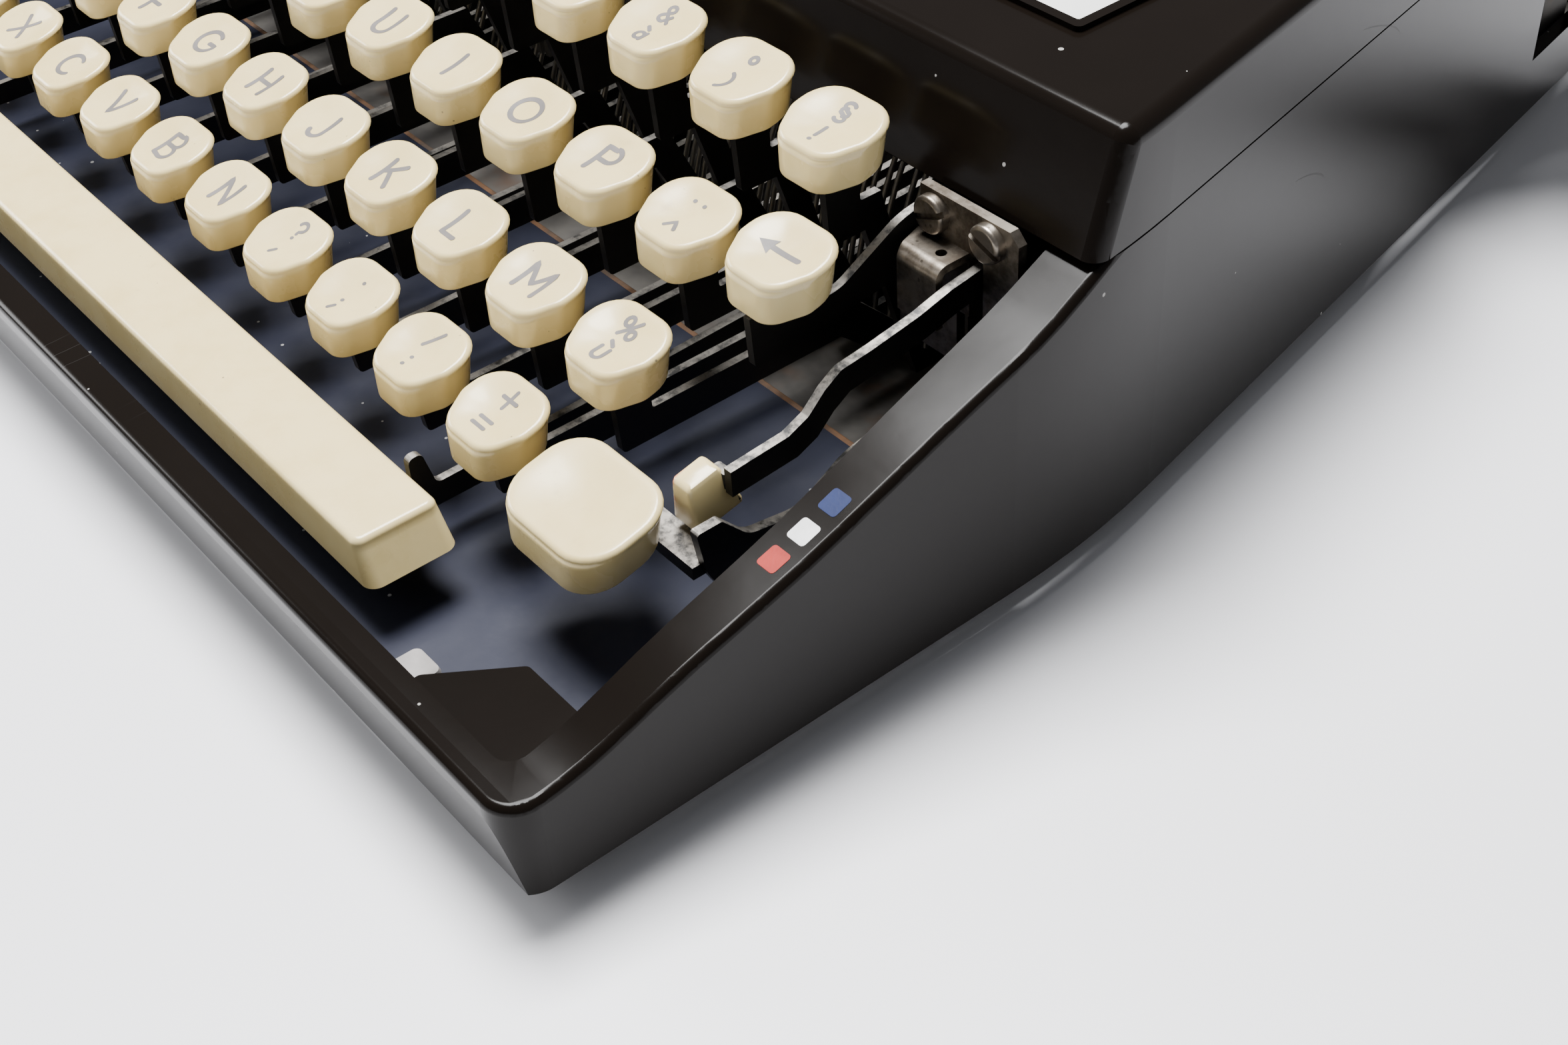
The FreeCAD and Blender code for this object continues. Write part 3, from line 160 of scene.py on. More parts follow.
def material(name, build):
    """A node material; build gets the tree and Object coordinates, and returns shader inputs."""
    made = bpy.data.materials.new(name)
    made.use_nodes = True
    tree = made.node_tree
    tree.nodes.clear()
    place = node(tree, "ShaderNodeTexCoord", out="Object")
    inputs = {"Specular IOR Level": 0.5, **build(tree, place)}
    shader = node(tree, "ShaderNodeBsdfPrincipled", inputs)
    node(tree, "ShaderNodeOutputMaterial", [shader])
    made.diffuse_color = (0.5, 0.5, 0.5, 1.0)
    return made


def height_of(place):
    return node(place.tree, "ShaderNodeSeparateXYZ", [place], 2)


# ---- materials ---------------------------------------------------------------------------
def ivory(tree, place):
    mottle = noise(place, 90.0, 4.0, 0.6)
    stain = noise(place, 210.0, 3.0, 0.7).fade(0.60, 0.76) * noise(place, 40.0).fade(0.45, 0.65)
    pits = specks(place, 900.0, 0.16, 0.10) * noise(place, 160.0).fade(0.45, 0.6)
    colour = mix((0.800, 0.650, 0.320), (0.735, 0.580, 0.260), mottle.fade(0.35, 0.7))
    colour = mix(colour, (0.50, 0.36, 0.20), stain * 0.35)
    colour = mix(colour, (0.16, 0.12, 0.08), pits * 0.7)
    orange_peel = noise(place, 700.0, 2.0)
    return {"Base Color": colour, "Roughness": mottle * 0.10 + 0.22, "Coat Weight": 0.35,
            "Coat Roughness": 0.12, "Subsurface Weight": 0.04, "Subsurface Radius": (0.002, 0.001, 0.0005),
            "Normal": bump(orange_peel, 0.05)}


def black_gloss(tree, place):
    grain = noise(place, 30.0, 4.0, 0.6)
    dust = specks(place, 330.0, 0.13, 0.10) + specks(place, 110.0, 0.06, 0.14)
    marks = scratches(place, 150.0, 0.010, (0.2, 0.1, 0.6), 0.67)
    marks = marks + scratches(place, 190.0, 0.008, (0.1, 0.3, -0.9), 0.68)
    colour = mix((0.0038, 0.0026, 0.0019), (0.0058, 0.0042, 0.0031), grain)
    colour = mix(colour, (0.06, 0.06, 0.06), marks * 0.25)
    colour = mix(colour, (0.40, 0.39, 0.37), dust * 0.8)
    smear = noise(stretched(place, (1.0, 0.3, 1.0), (0.0, 0.0, 0.7)), 25.0, 3.0, 0.6)
    rough = smear * 0.10 + 0.13 + dust * 0.5 + marks * 0.25
    return {"Base Color": colour, "Roughness": rough, "Specular IOR Level": 0.11,
            "Normal": bump(noise(place, 260.0, 2.0), 0.04)}


def slate(tree, place):
    cloud = noise(place, 22.0, 3.0, 0.6)
    dust = specks(place, 500.0, 0.16, 0.16) + specks(place, 190.0, 0.07, 0.12)
    film = noise(place, 60.0, 4.0, 0.65).fade(0.45, 0.8)
    colour = mix((0.011, 0.013, 0.025), (0.017, 0.019, 0.034), cloud)
    colour = mix(colour, (0.038, 0.040, 0.055), film * 0.5)
    colour = mix(colour, (0.50, 0.50, 0.50), dust * 0.7)
    return {"Base Color": colour, "Roughness": cloud * 0.12 + 0.42, "Specular IOR Level": 0.18,
            "Normal": bump(noise(place, 900.0), 0.08)}


def dusty_base(tree, place):
    cloud = noise(place, 45.0, 4.0, 0.65)
    rust = noise(place, 80.0, 3.0, 0.6).fade(0.52, 0.72)
    colour = mix((0.035, 0.031, 0.028), (0.15, 0.14, 0.125), cloud.fade(0.3, 0.75))
    colour = mix(colour, (0.12, 0.060, 0.028), rust * 0.6)
    return {"Base Color": colour, "Roughness": 0.7}


def rusty_edge(tree, place):
    cloud = noise(place, 160.0, 4.0, 0.65)
    colour = mix((0.16, 0.075, 0.030), (0.055, 0.035, 0.022), cloud.fade(0.35, 0.7))
    return {"Base Color": colour, "Roughness": 0.75}


def enamel(tree, place):
    """Black paint, with bright steel on the faces that look up: partly paint worn through, partly a painted
    highlight where the upper edges catch the light.
    """
    upper_wear_and_highlight = node(tree, "ShaderNodeAttribute", out="Fac", attribute_name="upper")
    patchy_wear_and_highlight = upper_wear_and_highlight * noise(place, 420.0, 4.0, 0.7).fade(0.34, 0.60)
    grain = noise(place, 120.0, 3.0)
    colour = mix((0.0045, 0.0042, 0.004), (0.010, 0.009, 0.008), grain)
    # painted highlight mixed with wear: faces that look up get a bright steel colour and turn metallic
    colour = mix(colour, (0.30, 0.28, 0.25), patchy_wear_and_highlight * 0.85)
    return {"Base Color": colour, "Roughness": grain * 0.2 + 0.30, "Metallic": patchy_wear_and_highlight * 0.9,
            "Normal": bump(noise(place, 800.0, 3.0), 0.15)}


def nickel(tree, place):
    cloud = noise(place, 140.0, 5.0, 0.7)
    pits = specks(place, 900.0, 0.25, 0.25)
    colour = mix((0.34, 0.30, 0.25), (0.11, 0.09, 0.07), cloud.fade(0.40, 0.66))
    colour = mix(colour, (0.04, 0.03, 0.02), pits * 0.6)
    return {"Base Color": colour, "Metallic": 0.95, "Roughness": cloud * 0.3 + 0.18,
            "Normal": bump(noise(place, 600.0, 3.0), 0.15)}


def steel(tree, place):
    cloud = noise(place, 90.0, 4.0, 0.6)
    colour = mix((0.34, 0.33, 0.31), (0.20, 0.19, 0.17), cloud)
    return {"Base Color": colour, "Metallic": 0.9, "Roughness": cloud * 0.2 + 0.28}


def plain(base, dark, rough, scale=60.0, gloss=0.5):
    """A builder for a simple two-tone finish."""
    def build(tree, place):
        cloud = noise(place, scale, 3.0, 0.6)
        return {"Base Color": mix(base, dark, cloud.fade(0.3, 0.7)), "Roughness": cloud * 0.1 + rough,
                "Specular IOR Level": gloss, "Normal": bump(noise(place, scale * 8), 0.05)}
    return build


def selector_ivory(tree, place):
    """Ivory with a streak of red paint rubbed on the front left corner."""
    inputs = ivory(tree, place)
    split = node(tree, "ShaderNodeSeparateXYZ", [place])
    along = node(tree, "ShaderNodeSeparateXYZ", [place], 1)
    band = 1.0 - ((split - 0.1158) + (along + 0.0926) * 0.2).math("ABSOLUTE").fade(0.0003, 0.0012)
    streak = band * noise(place, 500.0, 3.0, 0.7).fade(0.42, 0.58) * height_of(place).fade(0.0262, 0.028)
    inputs["Base Color"] = mix(inputs["Base Color"], (0.55, 0.10, 0.06), streak * 0.8)
    return inputs


MATERIALS = {name: material(name, build) for name, build in {
    "ivory": ivory,
    "selector_ivory": selector_ivory,
    "black_gloss": black_gloss,
    "slate": slate,
    "dusty_base": dusty_base,
    "rusty_edge": rusty_edge,
    "enamel": enamel,
    "nickel": nickel,
    "steel": steel,
    "legend_grey": plain((0.15, 0.135, 0.13), (0.105, 0.095, 0.09), 0.45, 200.0),
    "badge_white": plain((0.82, 0.82, 0.80), (0.74, 0.74, 0.72), 0.30),
    "rubber": plain((0.010, 0.010, 0.010), (0.018, 0.018, 0.017), 0.55),
    "grey_rubber": plain((0.34, 0.32, 0.31), (0.25, 0.235, 0.225), 0.70, 200.0),
    "ribbon_cloth": plain((0.010, 0.010, 0.014), (0.022, 0.022, 0.028), 0.80, 900.0),
    "mark_red": plain((0.36, 0.030, 0.022), (0.28, 0.022, 0.016), 0.35, 300.0, 0.12),
    "mark_white": plain((0.80, 0.80, 0.80), (0.66, 0.66, 0.66), 0.35, 300.0),
    "mark_blue": plain((0.012, 0.022, 0.085), (0.009, 0.016, 0.065), 0.35, 300.0, 0.12),
    "crack_dark": plain((0.035, 0.030, 0.025), (0.05, 0.04, 0.03), 0.6),
}.items()}


# ---- mesh helpers ------------------------------------------------------------------------
def piece(name, points, faces, finish, body, sharp=35.0, slots=None, faces_slot=None):
    """A finished mesh in the row frame; points are in millimetres."""
    mesh = bpy.data.meshes.new(name)
    mesh.from_pydata([tuple(p) for p in np.asarray(points, float) * MM], [], faces)
    for one in slots or [finish]:
        mesh.materials.append(MATERIALS[one])
    if faces_slot is not None:
        mesh.polygons.foreach_set("material_index", faces_slot)
    mesh.validate()
    made = bpy.data.objects.new(name, mesh)
    bpy.context.scene.collection.objects.link(made)
    soften(made, sharp)
    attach(made, body)
    return made


def soften(made, angle):
    mesh = made.data
    mesh.polygons.foreach_set("use_smooth", [True] * len(mesh.polygons))
    mesh.set_sharp_from_angle(angle=math.radians(angle))


class Build:
    """Collects points and faces of several shapes, each with a material slot."""

    def __init__(self):
        self.points = []
        self.faces = []
        self.slots = []

    def add(self, points, faces, slot=0):
        start = len(self.points)
        self.points += [tuple(p) for p in points]
        self.faces += [tuple(start + i for i in face) for face in faces]
        self.slots += [slot] * len(faces)

    def rings(self, rings, slot=0, closed_ends=True):
        count = len(rings[0])
        points = [p for ring in rings for p in ring]
        faces = []
        for r in range(len(rings) - 1):
            for i in range(count):
                j = (i + 1) % count
                faces.append((r * count + i, r * count + j, (r + 1) * count + j, (r + 1) * count + i))
        if closed_ends:
            faces.append(tuple(range(count))[::-1])
            faces.append(tuple(range((len(rings) - 1) * count, len(rings) * count)))
        self.add(points, faces, slot)


def rounded_outline(corners, radii, per_corner=9, per_side=5):
    """Anticlockwise plan with rounded corners, always with the same count of points."""
    corners = [Vector(c) for c in corners]
    ends = []
    for i, corner in enumerate(corners):
        before = (corners[i - 1] - corner).normalized()
        after = (corners[(i + 1) % len(corners)] - corner).normalized()
        half_angle = before.angle(after) / 2
        reach = radii[i] / math.tan(half_angle)
        centre = corner + (before + after).normalized() * radii[i] / math.sin(half_angle)
        start, end = corner + before * reach - centre, corner + after * reach - centre
        sweep = math.pi - 2 * half_angle
        arc_points = []
        for k in range(per_corner):
            t = k / (per_corner - 1)
            a, b = math.sin(sweep * (1 - t)), math.sin(sweep * t)
            arc_points.append(centre + (start * a + end * b) / math.sin(sweep))
        ends.append(arc_points)
    points = []
    for i, arc_points in enumerate(ends):
        points += arc_points
        last, following = arc_points[-1], ends[(i + 1) % len(ends)][0]
        points += [last.lerp(following, k / per_side) for k in range(1, per_side)]
    return np.array([tuple(p) for p in points])


def rounded(width, depth, radius, per_corner=9, per_side=5):
    x, y = width / 2, depth / 2
    radius = min(radius, x - 0.001, y - 0.001)
    return rounded_outline([(x, -y), (x, y), (-x, y), (-x, -y)], [radius] * 4, per_corner, per_side)


def loop(width, depth, radius, inset, x, y, z):
    plan = rounded(width - 2 * inset, depth - 2 * inset, max(radius - inset, 0.4))
    return [(x + px, y + py, z) for px, py in plan]


class CapShape:
    """A moulded cap: soft upper rim, leaning dished top, sides drawn in towards the foot."""

    def __init__(self, width, depth, corner, dish, edge=0.8, nose=None, nose_corner=0.0):
        self.width, self.depth, self.corner, self.dish, self.edge = width, depth, corner, dish, edge
        self.nose, self.nose_corner = nose, nose_corner

    def plan(self, grow):
        x, y = self.width / 2 + grow, self.depth / 2 + grow
        corner = max(self.corner + grow, 0.5)
        if self.nose is None:
            return rounded(2 * x, 2 * y, corner)
        nose = self.nose / 2 + grow
        nose_corner = max(self.nose_corner + grow, 0.5)
        corners = [(nose, -y), (x, CAP_SHOULDER), (x, y), (-x, y), (-x, CAP_SHOULDER), (-nose, -y)]
        return rounded_outline(corners, [nose_corner, SHOULDER_ROUND, corner, corner, SHOULDER_ROUND,
                                         nose_corner])

    def drop(self, u, v):
        """How far the dished top is below the rim at a place on the cap."""
        t = min(1.0, math.hypot(u / (self.width / 2 - self.edge), v / (self.depth / 2 - self.edge)))
        return self.dish * (1 - t * t) ** 1.5

    def place(self, u, v, below, foot=0.0):
        """A place on the leaning cap, below its top plane, or part of the way down to its foot."""
        return (u, v * LEAN_COS + below * LEAN_SIN - CAP_FOOT_FORWARD * foot,
                v * LEAN_SIN - below * LEAN_COS - CAP_HEIGHT * foot)

    def rings(self, x, y, top):
        shapes = [(-3.0, 0.0, 0.9), (-1.2, 0.0, 0.9), (-0.5 - CAP_TUCK, 0.0, 1.0)]
        shapes += [(-0.3 * (1 - math.sin(a)) - CAP_TUCK, 0.0, 1.0 - 0.05 * (1 - math.cos(a)))
                   for a in (0.4, 0.8, 1.2, 1.57)]
        shapes += [(-CAP_TUCK * t, 0.0, t) for t in (0.72, 0.5, 0.3, 0.17)]
        shapes += [(-self.edge * (1 - math.cos(a)), self.edge * (1 - math.sin(a)), 0.0)
                   for a in [math.pi / 2 * i / 7 for i in range(8)]]
        rows = [[self.place(u, v, below, foot) for u, v in self.plan(grow)] for grow, below, foot in shapes]
        for t in (0.93, 0.85, 0.76, 0.66, 0.55, 0.44, 0.33, 0.22, 0.11, 0.03):
            rows.append([self.place(u * t, v * t, self.dish * (1 - t * t) ** 1.5, 0.0)
                         for u, v in self.plan(-self.edge)])
        return [[(x + px, y + py, top + pz) for px, py, pz in row] for row in rows]


KEY_CAP = CapShape(15.1, 12.4, 5.2, 0.6, nose=9.7, nose_corner=4.2)
LOCK_CAP = CapShape(13.7, 11.0, 4.5, 0.6, nose=8.3, nose_corner=3.5)
SHIFT_CAP = CapShape(22.0, 15.6, 6.2, 0.6)


def boss(build, x, y, top, slot=0):
    """Round foot between a cap and the post of its lever."""
    low = top - CAP_HEIGHT - BOSS_HEIGHT
    build.rings([loop(2 * r, 2 * r, r, 0.0, x, y, z) for r, z in
                 ((BOSS_RADIUS - 0.2, low), (BOSS_RADIUS, low + 0.2), (BOSS_RADIUS, low + 2.6))], slot)


# ---- legends: strokes on a grid, in millimetres from the middle of the cap ----------------
def arc(cx, cy, rx, ry, a0, a1, steps=14):
    return [(cx + rx * math.cos(math.radians(a0 + (a1 - a0) * i / steps)),
             cy + ry * math.sin(math.radians(a0 + (a1 - a0) * i / steps))) for i in range(steps + 1)]


def dot(x, y):
    return [(x - 0.05, y), (x + 0.05, y)]


H = 2.42                     # half the height of a capital
LETTER_HALF_WIDTH = 0.43
SIGN_HALF_WIDTH = 0.32
LETTERS = {
    "A": [[(-2.0, -H), (0, H), (2.0, -H)], [(-1.25, -0.9), (1.25, -0.9)]],
    "B": [[(-1.6, -H), (-1.6, H), (0.3, H)] + arc(0.3, 1.45, 1.3, 1.3, 90, -90) + [(-1.6, 0.15)],
          [(0.3, 0.15)] + arc(0.3, -1.3, 1.5, 1.45, 90, -90) + [(-1.6, -H)]],
    "C": [arc(0.3, 0, 2.3, H, 50, 310, 22)],
    "D": [[(-1.7, -H), (-1.7, H), (-0.3, H)] + arc(-0.3, 0, 2.2, H, 90, -90, 18) + [(-1.7, -H)]],
    "E": [[(1.5, H), (-1.4, H), (-1.4, -H), (1.5, -H)], [(-1.4, 0.1), (1.1, 0.1)]],
    "F": [[(1.5, H), (-1.4, H), (-1.4, -H)], [(-1.4, 0.1), (1.1, 0.1)]],
    "G": [arc(0.2, 0, 2.4, H, 50, 345, 24) + [(2.45, -0.2), (0.7, -0.2)]],
    "H": [[(-1.7, -H), (-1.7, H)], [(1.7, -H), (1.7, H)], [(-1.7, 0.1), (1.7, 0.1)]],
    "I": [[(0, -H), (0, H)]],
    "J": [[(1.0, H), (1.0, -1.2)] + arc(-0.4, -1.3, 1.4, 1.45, 0, -160)],
    "K": [[(-1.5, -H), (-1.5, H)], [(1.6, H), (-1.4, -0.1)], [(-0.6, 0.6), (1.8, -H)]],
    "L": [[(-1.2, H), (-1.2, -H), (1.7, -H)]],
    "M": [[(-2.2, -H), (-2.2, H), (0, -0.9), (2.2, H), (2.2, -H)]],
    "N": [[(-1.7, -H), (-1.7, H), (1.7, -H), (1.7, H)]],
    "O": [arc(0, 0, 2.5, H, 90, 450, 30)],
    "P": [[(-1.5, -H), (-1.5, H), (0.4, H)] + arc(0.4, 1.35, 1.5, 1.4, 90, -90) + [(-1.5, -0.05)]],
    "Q": [arc(0, 0, 2.5, H, 90, 450, 30), [(0.6, -1.2), (2.4, -3.0)]],
    "R": [[(-1.5, -H), (-1.5, H), (0.4, H)] + arc(0.4, 1.35, 1.4, 1.4, 90, -90) + [(-1.5, -0.05)],
          [(0.3, -0.05), (1.8, -H)]],
    "S": [arc(0.05, 1.35, 1.6, 1.4, 40, 230) + arc(-0.05, -1.35, 1.75, 1.4, 70, -145)],
    "T": [[(-2.0, H), (2.0, H)], [(0, H), (0, -H)]],
    "U": [[(-1.7, H), (-1.7, -0.9)] + arc(0, -0.95, 1.7, 1.8, 180, 360, 18) + [(1.7, H)]],
    "V": [[(-2.0, H), (0, -H), (2.0, H)]],
    "W": [[(-2.9, H), (-1.5, -H), (0, 1.6), (1.5, -H), (2.9, H)]],
    "X": [[(-1.8, H), (1.8, -H)], [(1.8, H), (-1.8, -H)]],
    "Y": [[(-1.9, H), (0, 0), (1.9, H)], [(0, 0), (0, -H)]],
    "Z": [[(-1.8, H), (1.8, H), (-1.8, -H), (1.8, -H)]],
    "back": [[(-3.0, 0), (3.6, 0)]],
}
# Small signs, centred on their own place: the upper one sits to the rear and the lower to the front.
SIGNS = {
    "=": [[(-1.3, 0.7), (1.3, 0.7)], [(-1.3, -0.7), (1.3, -0.7)]],
    "+": [[(-1.5, 0), (1.5, 0)], [(0, -1.5), (0, 1.5)]],
    "%": [arc(-0.95, 0.8, 0.65, 0.75, 0, 360), arc(0.95, -0.8, 0.65, 0.75, 0, 360),
          [(-1.1, -1.5), (1.1, 1.5)]],
    "u": [[(-0.85, 1.1), (-0.85, -0.3)] + arc(0, -0.35, 0.85, 0.8, 180, 360, 10) + [(0.85, 1.1)]],
    "u`": [[(-0.85, 0.6), (-0.85, -0.8)] + arc(0, -0.85, 0.85, 0.8, 180, 360, 10) + [(0.85, 0.6)],
           [(-0.5, 2.0), (0.5, 1.3)]],
    "^": [[(-1.0, -0.7), (0, 0.7), (1.0, -0.7)]],
    "..": [dot(-1.0, 0), dot(1.0, 0)],
    ":": [dot(0, 0.8), dot(0, -0.8)],
    ";": [dot(0, 0.8), [(0.1, -0.6), (-0.35, -1.5)]],
    ".": [dot(0, 0)],
    ",": [[(0.15, 0.3), (-0.35, -0.6)]],
    "/": [[(-0.9, -1.5), (0.9, 1.5)]],
    "?": [arc(0, 0.8, 0.9, 0.85, 165, -60) + [(0, -0.2), (0, -0.6)], dot(0, -1.5)],
    "!": [[(0, 1.5), (0, -0.5)], dot(0, -1.5)],
    "s": [arc(0, 1.1, 0.85, 0.6, 30, 240, 10) + [(0.75, 0.1)] + arc(0.1, -0.25, 0.7, 0.4, 20, -90, 6),
          arc(0, -1.1, 0.85, 0.6, 210, 420, 10) + [(-0.75, -0.1)] + arc(-0.1, 0.25, 0.7, 0.4, 200, 90, 6)],
    ")": [arc(-1.3, 0, 1.8, 1.9, -65, 65, 12)],
    "(": [arc(1.3, 0, 1.8, 1.9, 115, 245, 12)],
    "o": [arc(0, 0.2, 0.62, 0.62, 0, 360)],
    "&": [[(1.2, -1.5), (-0.6, 0.7)] + arc(0, 0.95, 0.65, 0.6, 190, -40, 10) + [(-0.7, -0.3)]
          + arc(-0.2, -0.85, 0.85, 0.65, 140, 290, 10) + [(1.1, -0.2)]],
    "a`": [arc(0, -0.6, 0.75, 0.8, 0, 360), [(0.8, 0.3), (0.8, -1.4)], [(-0.5, 1.6), (0.3, 1.0)]],
    "e'": [[(-0.8, -0.6), (0.8, -0.6)] + arc(0, -0.6, 0.8, 0.8, 0, 310, 16), [(-0.1, 0.8), (0.5, 1.5)]],
    "e`": [[(-0.8, -0.6), (0.8, -0.6)] + arc(0, -0.6, 0.8, 0.8, 0, 310, 16), [(-0.5, 1.5), (0.1, 0.8)]],
    "c,": [arc(0.1, 0, 0.8, 0.85, 50, 310, 14), [(0.1, -0.9), (0.2, -1.4), (-0.2, -1.6)]],
    "-": [[(-0.8, 0), (0.8, 0)]],
    "_": [[(-1.2, -0.9), (1.2, -0.9)]],
    "'": [[(0.1, 0.7), (-0.1, -0.2)]],
    '"': [[(-0.45, 0.7), (-0.45, -0.2)], [(0.45, 0.7), (0.45, -0.2)]],
    "2": [arc(0, 0.8, 0.85, 0.75, 170, -40, 12) + [(-0.9, -1.5), (0.95, -1.5)]],
    "3": [arc(-0.1, 0.75, 0.85, 0.75, 150, -90, 12) + arc(-0.1, -0.75, 0.95, 0.75, 90, -150, 12)],
    "4": [[(0.45, -1.5), (0.45, 1.5), (-1.0, -0.6), (1.0, -0.6)]],
    "5": [[(0.8, 1.5), (-0.65, 1.5), (-0.8, 0.2)] + arc(-0.05, -0.45, 0.9, 1.0, 130, -140, 14)],
    "6": [arc(0, -0.6, 0.85, 0.9, 0, 360), [(-0.8, -0.4), (-0.5, 0.8), (0.4, 1.5)]],
    "7": [[(-0.9, 1.5), (0.9, 1.5), (-0.3, -1.5)]],
    "8": [arc(0, 0.75, 0.75, 0.75, 0, 360), arc(0, -0.75, 0.9, 0.8, 0, 360)],
    "9": [arc(0, 0.6, 0.85, 0.9, 0, 360), [(0.8, 0.4), (0.5, -0.8), (-0.4, -1.5)]],
}
ROWS = {
    "bottom": (36.4, 29.5, 0.4, ["W", "X", "C", "V", "B", "N", "? ,", ". ;", "/ :", "+ ="]),
    "home": (50.6, 39.3, 10.05, ["Q", "S", "D", "F", "G", "H", "J", "K", "L", "M", "% u`"]),
    "upper": (67.1, 48.8, 4.9, ["A", "Z", "E", "R", "T", "Y", "U", "I", "O", "P", ".. ^"]),
    "number": (83.4, 60.6, 16.2, ["2 e'", "3 \"", "4 '", "5 (", "6 -", "7 e`", "8 _", "9 c,",
                                  "& a`", "o )", "s !"]),
}
KEY_NODES = {
    "bottom": ["c", "v", "b", "n", "question", "semicolon", "slash", "equals"],
    "home": ["g", "h", "j", "k", "l", "m", "percent"],
    "upper": ["u", "i", "o", "p", "circumflex"],
    "number": ["zero", "degree", "section"],
}
GROUPS = {"left_lower_keys": ["bottom", "home"], "left_upper_keys": ["upper"],
          "left_number_keys": ["number"]}


def strokes_of(legend):
    """Strokes and their half width for one cap."""
    if legend in LETTERS:
        return LETTERS[legend], LETTER_HALF_WIDTH
    parts = legend.split(" ")
    shift = [2.35, -2.45]
    lines = [[(x, y + dy) for x, y in line] for sign, dy in zip(parts, shift) for line in SIGNS[sign]]
    return lines, SIGN_HALF_WIDTH


def stroke(build, line, half, surface, slot):
    """A flat ribbon with round ends that lies on the surface."""
    dense = [line[0]]
    for (x0, y0), (x1, y1) in zip(line, line[1:]):
        steps = max(1, int(math.hypot(x1 - x0, y1 - y0) / 0.35))
        dense += [(x0 + (x1 - x0) * i / steps, y0 + (y1 - y0) * i / steps) for i in range(1, steps + 1)]
    line = np.array(dense)
    ahead = np.gradient(line, axis=0)
    ahead /= np.linalg.norm(ahead, axis=1)[:, None] + 1e-9
    start, end = ahead[0], ahead[-1]
    left, right = [], []
    for i in range(5, 0, -1):
        a = math.pi / 2 * i / 5
        base = line[0] - start * half * math.sin(a)
        side = np.array([-start[1], start[0]]) * half * math.cos(a)
        left.append(base + side)
        right.append(base - side)
    for p, d in zip(line, ahead):
        side = np.array([-d[1], d[0]]) * half
        left.append(p + side)
        right.append(p - side)
    for i in range(1, 6):
        a = math.pi / 2 * i / 5
        base = line[-1] + end * half * math.sin(a)
        side = np.array([-end[1], end[0]]) * half * math.cos(a)
        left.append(base + side)
        right.append(base - side)
    count = len(left)
    points = [surface(*p) for p in left] + [surface(*p) for p in right]
    faces = [(i + count, i + 1 + count, i + 1, i) for i in range(count - 1)]
    build.add(points, faces, slot)


def legend(build, text, x, y, top, shape, slot=1):
    def surface(u, v):
        px, py, pz = shape.place(u, v, shape.drop(u, v) - 0.02)
        return x + px, y + py, top + pz
    lines, half = strokes_of(text)
    for line in lines:
        stroke(build, line, half, surface, slot)
    if text == "back":
        tip = [(-4.1, 0.0), (-1.3, 1.35), (-1.6, 0.0), (-1.3, -1.35)]
        build.add([surface(*p) for p in tip], [(0, 3, 2), (0, 2, 1)], slot)


def cad_parts(name):
    """The separate solids of a CAD node, as (points in mm, faces), without touching the node."""
    mesh = nodes[name].data
    points = np.zeros(len(mesh.vertices) * 3)
    mesh.vertices.foreach_get("co", points)
    points = points.reshape(-1, 3) / MM
    keys = {}
    merged = []
    index = []
    for p in np.round(points, 4):
        k = tuple(p)
        if k not in keys:
            keys[k] = len(merged)
            merged.append(k)
        index.append(keys[k])
    faces = [tuple(dict.fromkeys(index[v] for v in f.vertices)) for f in mesh.polygons]
    faces = [f for f in faces if len(f) > 2]
    parent = list(range(len(merged)))

    def find(i):
        while parent[i] != i:
            parent[i] = parent[parent[i]]
            i = parent[i]
        return i
    for face in faces:
        root = find(face[0])
        for v in face[1:]:
            parent[find(v)] = root
    groups = {}
    for face in faces:
        groups.setdefault(find(face[0]), []).append(face)
    found = []
    for some in groups.values():
        used = sorted({v for face in some for v in face})
        new = {v: i for i, v in enumerate(used)}
        found.append((np.array([merged[v] for v in used]), [tuple(new[v] for v in f) for f in some]))
    return found


def mark_upper(made):
    """Face attribute that is 1 where a face looks up, for the enamel's worn paint and painted highlight on
    upper faces.
    """
    mesh = made.data
    attribute = mesh.attributes.new("upper", "FLOAT", "FACE")
    attribute.data.foreach_set("value", [1.0 if p.normal.z > 0.55 else 0.0 for p in mesh.polygons])
    return made


def levers(node, body):
    """Steel levers of a key node, taken from its own solids."""
    build = Build()
    for points, faces in cad_parts(node):
        size = points.max(0) - points.min(0)
        is_cap = size[0] > 11 and size[1] < 30 and size[0] / max(size[1], 1) > 0.7
        is_boss = size[0] > 3 and size[1] < 7
        if not is_cap and not is_boss:
            build.add(points, faces)
    return mark_upper(piece(node + "_levers", build.points, build.faces, "enamel", body, 30.0))


def key_rows():
    """Every lettered key: its node, its body, its place and its legend."""
    for row, (y, top, shift, legends) in ROWS.items():
        count = len(legends)
        singles = KEY_NODES[row]
        for i, text in enumerate(legends):
            x = FRONT_ROW_END + shift - (count - 1 - i) * KEY_PITCH
            single = i - (count - len(singles))
            if single >= 0:
                node_name = "key_" + singles[single]
            else:
                node_name = next(g for g, rows in GROUPS.items() if row in rows)
            yield node_name, text, x, y - DEPTH_HALF, top


def key_piece(name, build, node_name):
    """Caps with their legends, which take the place of the node's CAD, and its levers."""
    made = piece(name, build.points, build.faces, None, node_name, 60.0, ["ivory", "legend_grey"],
                 build.slots)
    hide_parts(node_name)
    levers(node_name, node_name)


def add_key(build, shape, x, y, top, text=None, foot=True):
    build.rings(shape.rings(x, y, top))
    if foot:
        boss(build, x, y, top)
    if text:
        legend(build, text, x, y, top, shape)


def build_keys():
    caps = {}
    for node_name, text, x, y, top in key_rows():
        add_key(caps.setdefault(node_name, Build()), KEY_CAP, x, y, top, text)
    for node_name, build in caps.items():
        key_piece(node_name + "_caps", build, node_name)


